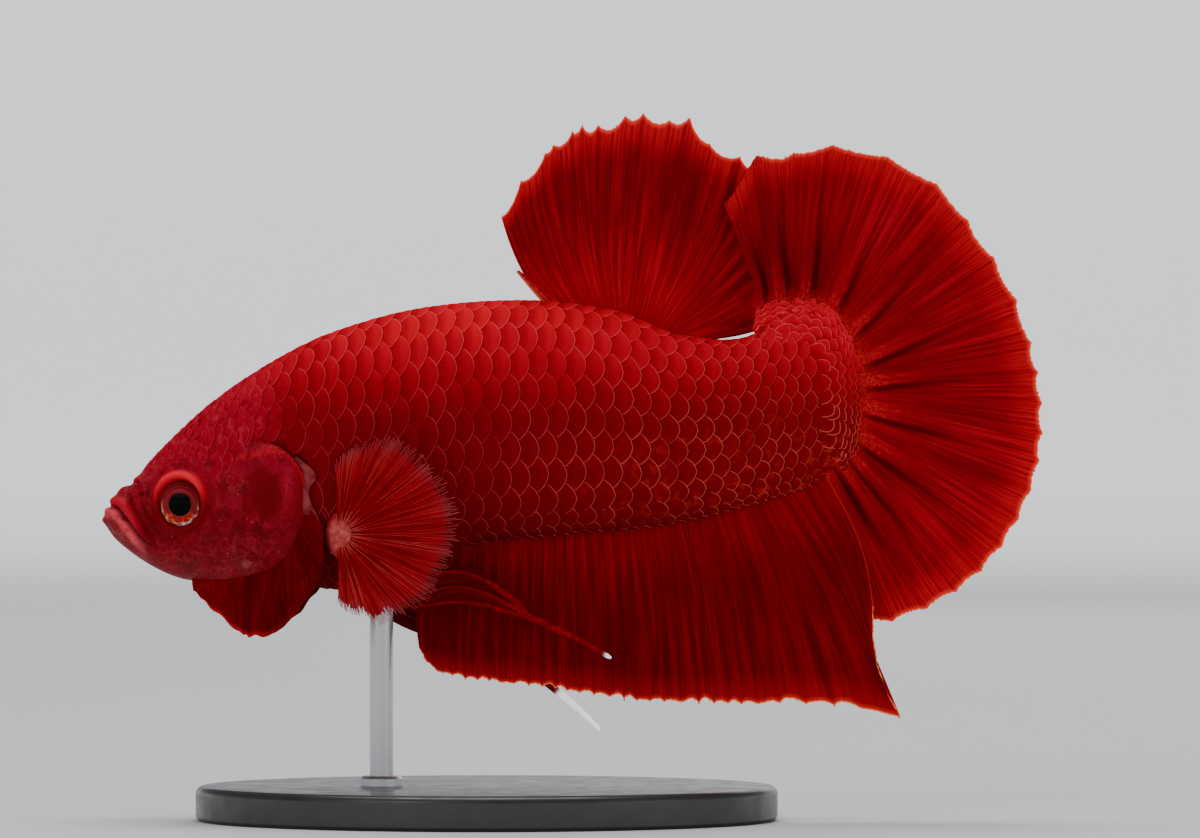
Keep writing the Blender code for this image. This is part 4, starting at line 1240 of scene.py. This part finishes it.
def dorsal_place(t, share):
    """A point of the dorsal fin on the ray at t, from 0 at the front to 1 at the rear."""
    roots, tips = np.array(DORSAL_ROOTS), np.array(DORSAL_TIPS)
    root_x, root_z, bend_x, bend_z = (smooth(np.stack([roots[:, 0], k], -1), t) for k in roots[:, 1:].T)
    tip_x, tip_z = (np.interp(t, tips[:, 0], k) for k in tips[:, 1:].T)
    share = share * (1 - scallops(t * 90, tips[:, 0] * 90, DORSAL_SCALLOP) - frayed(t * 75, 0.003))
    a, b, c = (1 - share) ** 2, 2 * share * (1 - share), share ** 2
    x, z = a * root_x + b * bend_x + c * tip_x, a * root_z + b * bend_z + c * tip_z
    pleat = 0.04 * np.cos(t * 2 * math.pi * DORSAL_PLEATS) * ease(share, 0.1, 0.4)
    pleat = pleat * (1 - 0.5 * ease(share, 0.7, 1))
    y = DORSAL_SWAY * share * ease(x, 3.0, 11.0) + pleat + 0.10 * np.sin(7 * t + 3 * share) * share
    return np.stack(np.broadcast_arrays(x, y, z), -1)


t, share = np.meshgrid(np.linspace(0, 1, 500), to_margin(80), indexing="ij")
crease = 0.5 + 0.5 * np.cos(t * 2 * math.pi * DORSAL_PLEATS)
# Its darkness mark is painted shade in the creases between pleats, and a darker band short of the margin.
dorsal = sheet(
    "dorsal_sail", dorsal_place(t, share), fin_half(share), fin_finish, across=18 * t, share=share,
    fold=0.25 * crease * (1 - share) ** 0.6 + 0.26 * ease(share, 0.3, 0.7) * fade(share, 0.8, 0.95),
    rim=np.maximum(glow(share, 16.0) * fade(t, 0.84, 0.9), 0.8 * fade(t, 0.0, 0.006)),
)
shares = np.linspace(0.0, 1.0, 30)
angles, order = branching((np.arange(DORSAL_PLEATS) + 0.5) / DORSAL_PLEATS, 0.0, 1.0, 2, 0.35, shares)
rng = np.random.default_rng(12)
lines = dorsal_place(angles, shares * (1 + rng.uniform(-0.006, 0.004, (len(angles), 1))))
thick = 0.045 + 0.07 * (1 - shares) ** 1.6 + 0 * angles
dorsal_rays = rays(
    "dorsal_rays", lines, thick, ray_red, sides=5,
    wart=0.5 * fade(shares, 0.05, 0.3), rim=0.4 * glow(shares, 16.0),
)
up_spine = np.linspace(0, 1, 14)
spine = np.stack([-1.75 - 1.95 * up_spine, -0.05 + 0 * up_spine, 32.75 + 2.15 * up_spine ** 1.08], -1)
behind_spine = np.stack([0.34 - 0.26 * up_spine, 0.04 + 0 * up_spine, 0.12 - 0.10 * up_spine], -1)
spines = rays(
    "dorsal_spine", np.concatenate([[spine + k * behind_spine] for k in (0.0, 0.7, 1.4)]),
    np.stack([0.13 - 0.07 * up_spine, 0.22 - 0.15 * up_spine, 0.22 - 0.15 * up_spine]), ray_red,
    rim=np.array([[0.5], [0.1], [0.0]]),
)
for piece in (dorsal, dorsal_rays, spines):
    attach(piece, "root")
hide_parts("dorsal_fin")


# ---- Anal fin --------------------------------------------------------------------------------
# A deep curtain under the body, pleated along close upright ribs, with a saw-toothed orange lower
# edge and a pointed rear corner that sweeps back below the tail fin.

ANAL_BASE = (-9.6, 15.9)
ANAL_TIPS = (
    (0.00, -9.9, 10.9), (0.02, -9.55, 10.1), (0.05, -8.8, 9.4), (0.12, -7.0, 8.9), (0.30, -2.0, 8.4),
    (0.50, 3.9, 7.5), (0.70, 10.5, 7.3), (0.78, 13.6, 7.35), (0.84, 17.3, 7.2), (0.88, 20.7, 6.55),
    (0.90, 20.0, 7.7), (0.93, 19.25, 9.7), (0.96, 18.95, 11.6), (1.00, 18.95, 13.5),
)
ANAL_RIBS = 34
ANAL_SWAY = -1.5


def anal_place(t, share):
    """A point of the anal fin on the rib at t, from 0 at the front to 1 at the rear."""
    tips = np.array(ANAL_TIPS)
    x0 = ANAL_BASE[0] + (ANAL_BASE[1] - ANAL_BASE[0]) * t
    z0 = smooth(BELLY, x0) + 0.7
    x1, z1 = np.interp(t, tips[:, 0], tips[:, 1]), np.interp(t, tips[:, 0], tips[:, 2])
    tooth = np.abs(np.sin(math.pi * (t + 0.004 * np.sin(37 * t)) * ANAL_RIBS)) ** 0.7
    deep = 0.020 + 0.012 * np.sin(23 * t) * np.sin(61 * t + 1.0)
    even = 1 - 0.85 * ridge(t - 0.88, 0.03) - 0.5 * ease(t, 0.9, 0.95)
    out = share * (1 - even * (deep * tooth + frayed(t * 95, 0.004)))
    bow = np.sin(math.pi * share) * (-0.35 + 1.0 * t)
    x, z = x0 + (x1 - x0) * out + bow, z0 + (z1 - z0) * out
    pleat = 0.06 * np.cos(2 * math.pi * t * ANAL_RIBS) * ease(share, 0.08, 0.3)
    pleat = pleat * (1 - 0.4 * ease(t, 0.75, 1.0))
    y = ANAL_SWAY * t * t * np.maximum(out, 1e-6) ** 0.8 + pleat + 0.12 * np.sin(5 * t + 3 * share) * share
    return np.stack(np.broadcast_arrays(x, y, z), -1)


t, share = np.meshgrid(np.linspace(0, 1, 620), to_margin(74), indexing="ij")
groove = 0.5 + 0.5 * np.cos(2 * math.pi * t * ANAL_RIBS)
# Its darkness mark is painted shade in the grooves between ribs.
anal = sheet(
    "anal_curtain", anal_place(t, share), fin_half(share), dark_finish, across=26 * t, share=share,
    fold=0.26 * groove * fade(share, 0.75, 1.0) * (1 - 0.5 * ease(t, 0.75, 1.0)),
    rim=np.maximum(glow(share, 14.0), 0.6 * ease(t, 0.994, 1.0)),
)
shares = np.linspace(0.0, 1.0, 30)
angles, order = branching((np.arange(ANAL_RIBS) + 0.5) / ANAL_RIBS, 0.0, 1.0, 2, 0.40, shares)
rng = np.random.default_rng(13)
lines = anal_place(angles, shares * (1 + rng.uniform(-0.008, 0.006, (len(angles), 1))))
thick = 0.045 + 0.075 * (1 - shares) ** 1.4 + 0 * angles
anal_rays = rays("anal_rays", lines, thick, deep_rays, sides=5, rim=0.4 * glow(shares, 14.0))
for piece in (anal, anal_rays):
    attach(piece, "root")
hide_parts("anal_fin")


# ---- Pectoral fins ---------------------------------------------------------------------------
# A clear, rounded fan behind each gill cover, on a fleshy pink root. Its fine rays run out past the
# edge of the skin as loose greyish threads.

PECTORAL_CENTRE = (-14.85, 18.25)
PECTORAL_MARGIN = (
    (-92.0, 4.2), (-84.0, 4.9), (-76.0, 5.3), (-73.0, 5.2), (-68.0, 6.1), (-62.0, 6.3), (-56.0, 6.15),
    (-48.0, 6.6), (-34.0, 7.0), (-22.0, 7.1), (-10.0, 7.4), (4.0, 7.7), (24.0, 7.6), (37.0, 7.3),
    (51.0, 7.25), (63.0, 6.9), (75.0, 6.0), (85.0, 5.2), (95.0, 4.4),
)
PECTORAL_Y, PECTORAL_FLARE, PECTORAL_CUP = 4.75, 0.28, 0.05
PECTORAL_BUNDLES = tuple(a + 2.2 * math.sin(1.9 * k) for k, a in enumerate(np.linspace(-87, 89, 27)))


def pectoral_place(side, angle, share):
    """A point of a pectoral fin at an angle and share of the way out."""
    turned = np.radians(angle)
    radius = 0.3 + (smooth(PECTORAL_MARGIN, angle) - 0.3) * share
    x = PECTORAL_CENTRE[0] + radius * np.cos(turned)
    z = PECTORAL_CENTRE[1] + radius * np.sin(turned)
    pleat = 0.06 * np.cos(2 * math.pi * (angle + 86) / 12.43) * ease(share, 0.1, 0.4)
    y = PECTORAL_Y + PECTORAL_FLARE * (x - PECTORAL_CENTRE[0])
    y = y + PECTORAL_CUP * np.abs(z - PECTORAL_CENTRE[1])
    y = y + pleat - 0.5 * fade(share, 0.0, 0.25) + 0.35 * np.sin(math.pi * share)
    return np.stack(np.broadcast_arrays(x, side * y, z), -1)


pectoral_finish = streaked(
    "pectoral_skin", (0.17, 0.001, 0.006), (0.41, 0.005, 0.014), (0.44, 0.035, 0.045),
)
pectoral_rays_finish = ray_finish(
    "pectoral_threads", (0.36, 0.003, 0.010), (0.50, 0.010, 0.020), (0.60, 0.070, 0.055),
    (0.42, 0.055, 0.065),
)
lobe_skin = Finish("fin_root", 0.5, gloss=0.15)
clouded = lobe_skin.clouds(2200.0, 4.0, 0.35, 0.65)
lobe_skin.colour = lobe_skin.mix(clouded, (0.44, 0.035, 0.038), (0.66, 0.13, 0.105))
lobe_skin.lay((0.42, 0.010, 0.018), lobe_skin.span(lobe_skin.kept("border"), 0.45, 1.0))
lobe_finish = lobe_skin.finished(lobe_skin.noise(3000.0, 4.0), 0.6, 0.08)

LOBE_CENTRE, LOBE_SIZE = (-14.70, 4.25, 18.2), (1.0, 0.52, 1.45)
LOBE_RINGS, LOBE_SPOKES = 30, 40
for side, name in ((-1, "left"), (1, "right")):
    angle, share = np.meshgrid(np.linspace(-90, 93, 300), np.linspace(0, 1, 60), indexing="ij")
    ragged = 0.04 * np.abs(np.sin(angle * 0.95)) + 0.04 * np.sin(angle * 3.7) * np.sin(angle * 1.3)
    middle = pectoral_place(side, angle, share * (0.92 - ragged))
    fan = sheet(
        "pectoral_fan_" + name, middle, 0.035 - 0.022 * share, pectoral_finish,
        across=np.radians(angle) * 7, share=share, fold=0.25 * (1 - share), rim=0.12 * ease(share, 0.6, 1.0),
    )
    shares = np.linspace(0.0, 1.0, 26)
    angles, order = branching(PECTORAL_BUNDLES, -91, 94, 3, 0.15, shares, last_split=0.85)
    rng = np.random.default_rng(14)
    length = 0.985 + rng.uniform(-0.05, 0.03, (len(angles), 1))
    bend = rng.uniform(-0.35, 0.35, (len(angles), 1)) * ease(shares, 0.6, 1.0)
    lines = pectoral_place(side, angles + bend, shares * length)
    thick = 0.022 + 0.020 * (1 - shares) + 0.03 * fade(shares, 0.05, 0.30) + 0 * angles
    streaks = ridge(np.sin(np.radians(angles) * 5.6 + 0.5), 0.45) * ease(-angles, -20, 20)
    lit_up = rng.uniform(0.0, 0.45, (len(angles), 1)) + 0.7 * streaks * fade(shares, 0.45, 0.9)
    lit_up = np.clip(np.maximum(lit_up, 1 - ease(shares, 0.06, 0.28)), 0, 1)
    threads = rays(
        "pectoral_threads_" + name, lines, thick, pectoral_rays_finish, sides=4,
        rim=lit_up, tip=0.8 * ease(shares, 0.75, 0.98),
    )
    fall = np.linspace(0.02, math.pi - 0.02, LOBE_RINGS)[:, None]
    turn = np.linspace(0, 2 * math.pi, LOBE_SPOKES + 1)[None, :-1]
    bumpy = 1 + 0.06 * np.sin(5 * turn + 3 * fall) * np.sin(4 * fall) + 0.05 * np.sin(13 * turn)
    lobe_points = np.stack([
        LOBE_CENTRE[0] + LOBE_SIZE[0] * np.sin(fall) * np.cos(turn) * bumpy,
        side * (LOBE_CENTRE[1] - LOBE_SIZE[1] * np.cos(fall) + 0 * turn),
        LOBE_CENTRE[2] + LOBE_SIZE[2] * np.sin(fall) * np.sin(turn) * bumpy,
    ], -1)
    lobe_ends = lobe_points[[0, -1]].mean(axis=1)
    lobe_faces = capped_faces(LOBE_RINGS, LOBE_SPOKES)
    if side > 0:
        lobe_faces = [face[::-1] for face in lobe_faces]
    lobe_points = np.concatenate([lobe_points.reshape(-1, 3), lobe_ends])
    lobe = mesh_object("pectoral_root_" + name, lobe_points, lobe_faces)
    store(lobe, "border", np.sin(fall) * (1 + 0.12 * np.sin(13 * turn)))
    lobe.data.materials.append(lobe_finish)
    for piece in (fan, threads, lobe):
        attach(piece, "root")
    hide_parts("pectoral_fin_" + name)


# ---- Pelvic fins -----------------------------------------------------------------------------
# A narrow blade under each side of the breast: a few banded rays in a strip of skin, which close
# into one stiff thread with a white point that has a painted glow.

PELVICS = {
    "left": ((-15.0, -1.5, 15.3, 0.5), (-11.0, -1.8, 14.3, 1.6), (-7.8, -2.2, 14.95, 2.6),
             (-5.9, -2.4, 14.6, 2.05), (-4.4, -2.5, 13.9, 1.35), (-3.0, -2.65, 13.1, 0.6),
             (-1.4, -2.8, 12.3, 0.22), (0.5, -2.9, 11.4, 0.14), (2.3, -3.0, 10.4, 0.08)),
    "right": ((-15.0, 1.5, 15.3, 0.5), (-11.0, 1.8, 13.1, 1.5), (-7.5, 2.3, 11.9, 1.6),
              (-5.0, 2.5, 10.9, 0.9), (-3.2, 2.65, 9.7, 0.4), (-1.4, 2.8, 8.3, 0.20),
              (0.2, 2.9, 6.95, 0.16), (1.6, 3.0, 5.6, 0.14)),
}
WHITE_FROM = {"left": 0.976, "right": 0.74}
pelvic_finish = streaked("pelvic_skin", (0.16, 0.0015, 0.003), (0.34, 0.004, 0.006), (0.9, 0.80, 0.78))
pelvic_rays_finish = ray_finish(
    "pelvic_rays", (0.22, 0.001, 0.006), (0.44, 0.006, 0.014), FIN_RIM, (0.92, 0.86, 0.85),
)
for name, line in PELVICS.items():
    s = np.linspace(0, 1, 120)
    x, y, z, breadth = rounded(line, len(s)).T
    run = np.stack([np.gradient(x), np.gradient(z)])
    run /= np.hypot(*run)
    across = np.linspace(-1, 1, 41)

    def pelvic_place(k, depth):
        """Points across the blade, k from its lower edge to its upper one."""
        half = breadth * 0.48 * k
        swell = depth * np.sin(k * math.pi * 2.2 + 0.4) * np.minimum(1, breadth)
        return np.stack([x - run[1] * half, y + swell, z + run[0] * half], -1)

    middle = np.stack([pelvic_place(k, 0.16) for k in across])
    white = ease(s, WHITE_FROM[name] - 0.012, WHITE_FROM[name] + 0.012)
    half = np.tile(0.06 - 0.03 * ease(s, 0.9, 1.0), (len(across), 1))
    blade = sheet(
        "pelvic_blade_" + name, middle, half, pelvic_finish,
        across=across[:, None] * 1.5, share=s[None] * 3, fold=0.35, rim=white,
    )
    closing = fade(s, 0.5, 0.72)
    strands = np.stack([pelvic_place(k * closing, 0.16) for k in (-0.85, -0.08, 0.72)])
    end = 0.10 * np.sqrt(np.clip((s - 0.985) / 0.015, 0, 1))
    thick = np.stack([0.14 + 0.10 * ease(s, 0.3, 0.6) - 0.10 * ease(s, 0.75, 1.0) - 0.6 * end] * 3)
    bands = rays(
        "pelvic_rays_" + name, strands, thick, pelvic_rays_finish, sides=8, tip=white, lit=white,
    )
    for piece in (blade, bands):
        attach(piece, "root")
    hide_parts("pelvic_fin_" + name)


# ---- Gill membranes --------------------------------------------------------------------------
# The loose, pleated skin that hangs like a beard below each gill cover, and the thin grey-pink flap
# along the cover's rear edge.

MEMBRANE_ROOT = (
    (-24.3, 0.6, 15.6), (-22.4, 1.4, 15.7), (-20.4, 2.2, 15.9), (-18.6, 3.1, 16.8),
    (-17.6, 3.9, 18.1), (-17.0, 4.3, 20.4),
)
MEMBRANE_MARGIN = (
    (-24.2, 0.6, 14.6), (-23.1, 0.9, 13.5), (-21.3, 1.6, 12.0), (-20.5, 1.9, 11.7), (-19.0, 2.6, 11.9),
    (-17.2, 3.7, 13.6), (-15.9, 4.6, 15.6), (-15.8, 5.0, 18.6),
)
FLAP_ROOT = (
    (-17.9, 3.9, 22.9), (-17.4, 4.1, 22.0), (-17.2, 4.2, 20.8), (-17.2, 4.2, 19.7), (-16.3, 4.5, 18.5),
)
FLAP_MARGIN = (
    (-17.5, 4.3, 23.1), (-16.3, 4.6, 22.0), (-16.7, 4.6, 21.1), (-16.65, 4.6, 20.3), (-16.2, 4.7, 19.4),
    (-15.8, 4.7, 18.3),
)
BEARD_PLEATS = 4.5
beard_finish = streaked("gill_skin", (0.105, 0.0008, 0.003), (0.24, 0.002, 0.008), (0.70, 0.11, 0.05))
flap_skin = Finish("gill_flap_skin", 0.5, gloss=0.1)
clouded = flap_skin.clouds(1500.0, 4.0, 0.35, 0.65)
flap_skin.colour = flap_skin.mix(clouded, (0.18, 0.007, 0.013), (0.33, 0.045, 0.052))
flap_finish = flap_skin.finished(flap_skin.noise(2600.0, 4.0), 0.5, 0.05)


def between(root, margin, side, rows, columns, pleats, depth):
    """A pleated sheet between two lines, given on the left side and mirrored for the right."""
    at, share = np.linspace(0, 1, rows)[:, None], np.linspace(0, 1, columns)[None]
    start, end = rounded(root, rows)[:, None], rounded(margin, rows)[:, None]
    made = start + (end - start) * share[..., None]
    belly = 0.25 * np.sin(math.pi * share)
    made[..., 1] += belly + depth * np.sin(2 * math.pi * pleats * at) * ease(share, 0.1, 0.6)
    made[..., 1] *= side
    return made, at, share


for side, name in ((-1, "left"), (1, "right")):
    middle, at, share = between(MEMBRANE_ROOT, MEMBRANE_MARGIN, side, 220, 60, BEARD_PLEATS, 0.13)
    sag = 0.10 * np.abs(np.sin(at * 23)) * ease(share, 0.7, 1.0)
    middle[..., 2] += sag + 0.06 * np.sin(at * 71) * share
    creases = 0.5 - 0.5 * np.sin(2 * math.pi * BEARD_PLEATS * at)
    # Its darkness mark is painted shade in the creases of the pleats.
    beard = sheet(
        "gill_beard_" + name, middle, 0.09 - 0.05 * share + 0 * at, beard_finish,
        across=at * 9, share=share, fold=0.35 * creases * ease(at, 0.25, 0.4) + 0 * share,
        rim=0.7 * glow(share, 4.0) * fade(at, 0.35, 0.8) + 0.16 * fade(at, 0.1, 0.45),
    )
    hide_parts("gill_membrane_" + name)
    middle, at, share = between(FLAP_ROOT, FLAP_MARGIN, side, 90, 24, 3, 0.05)
    flap = sheet("gill_flap_" + name, middle, np.full(middle.shape[:2], 0.05), flap_finish)
    for piece in (beard, flap):
        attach(piece, "root")


# ---- Stand -----------------------------------------------------------------------------------
# A flat oval plate painted satin black and a brushed steel rod that goes up into the belly. The
# plate is turned with a soft edge; the rod sits in a small collar.

base_low, base_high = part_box("stand_base")
rod_low, rod_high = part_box("stand_rod")
black = Finish("satin_black_paint", 0.38, coat=0.2)
black.colour = black.mix(black.noise(900.0, 5.0), (0.010, 0.010, 0.011), (0.022, 0.022, 0.024))
black.set("Roughness", black.clouds(700.0, 4.0, -0.9, 2.2))
paint = black.finished(black.noise(6000.0, 3.0), 0.25, 0.03)
brushed = Finish("brushed_steel", 0.32, metallic=1.0)
grain = brushed.noise(900.0, 4.0, stretch=(1, 1, 40))
brushed.colour = brushed.mix(grain, (0.42, 0.42, 0.43), (0.66, 0.66, 0.67))
brushed.set("Roughness", brushed.span(grain, -0.8, 2.4))
steel = brushed.finished(grain, 0.3, 0.01)


def turned(name, centre, profile, sides, finish):
    """A closed solid of rings round an upright line; each ring is (half-length, half-breadth, height)."""
    around = np.linspace(0, 2 * math.pi, sides + 1)[:-1]
    points = [
        (centre[0] + a * math.cos(w), centre[1] + b * math.sin(w), z) for a, b, z in profile for w in around
    ]
    points += [(centre[0], centre[1], profile[0][2]), (centre[0], centre[1], profile[-1][2])]
    made = mesh_object(name, points, capped_faces(len(profile), sides))
    made.data.set_sharp_from_angle(angle=math.radians(35))
    made.data.materials.append(finish)
    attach(made, "root")
    return made


length, breadth = (base_high.x - base_low.x) / 2 / MM, (base_high.y - base_low.y) / 2 / MM
height = base_high.z / MM
EDGE = 0.5
rounding = [(EDGE * (1 - math.cos(w)), EDGE * math.sin(w)) for w in np.linspace(0, math.pi / 2, 7)]
profile = [(length - 0.25, breadth - 0.25, 0.0), (length, breadth, 0.25)]
profile += [(length - inward, breadth - inward, height - EDGE + rise) for inward, rise in rounding]
plate_centre = ((base_high.x + base_low.x) / 2 / MM, 0.0)
plate_piece = turned("stand_plate", plate_centre, profile, 160, paint)
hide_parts("stand_base")
rod_centre = ((rod_high.x + rod_low.x) / 2 / MM, 0.0)
radius = (rod_high.x - rod_low.x) / 2 / MM
profile = [(radius, radius, z) for z in np.linspace(rod_low.z / MM, rod_high.z / MM, 12)]
stem = turned("stand_stem", rod_centre, profile, 40, steel)
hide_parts("stand_rod")
COLLAR = ((1.35, -0.1), (1.35, 0.45), (1.2, 0.62), (radius, 0.65))    # radius, and height over the plate
profile = [(across, across, height + rise) for across, rise in COLLAR]
collar = turned("stand_collar", rod_centre, profile, 40, steel)
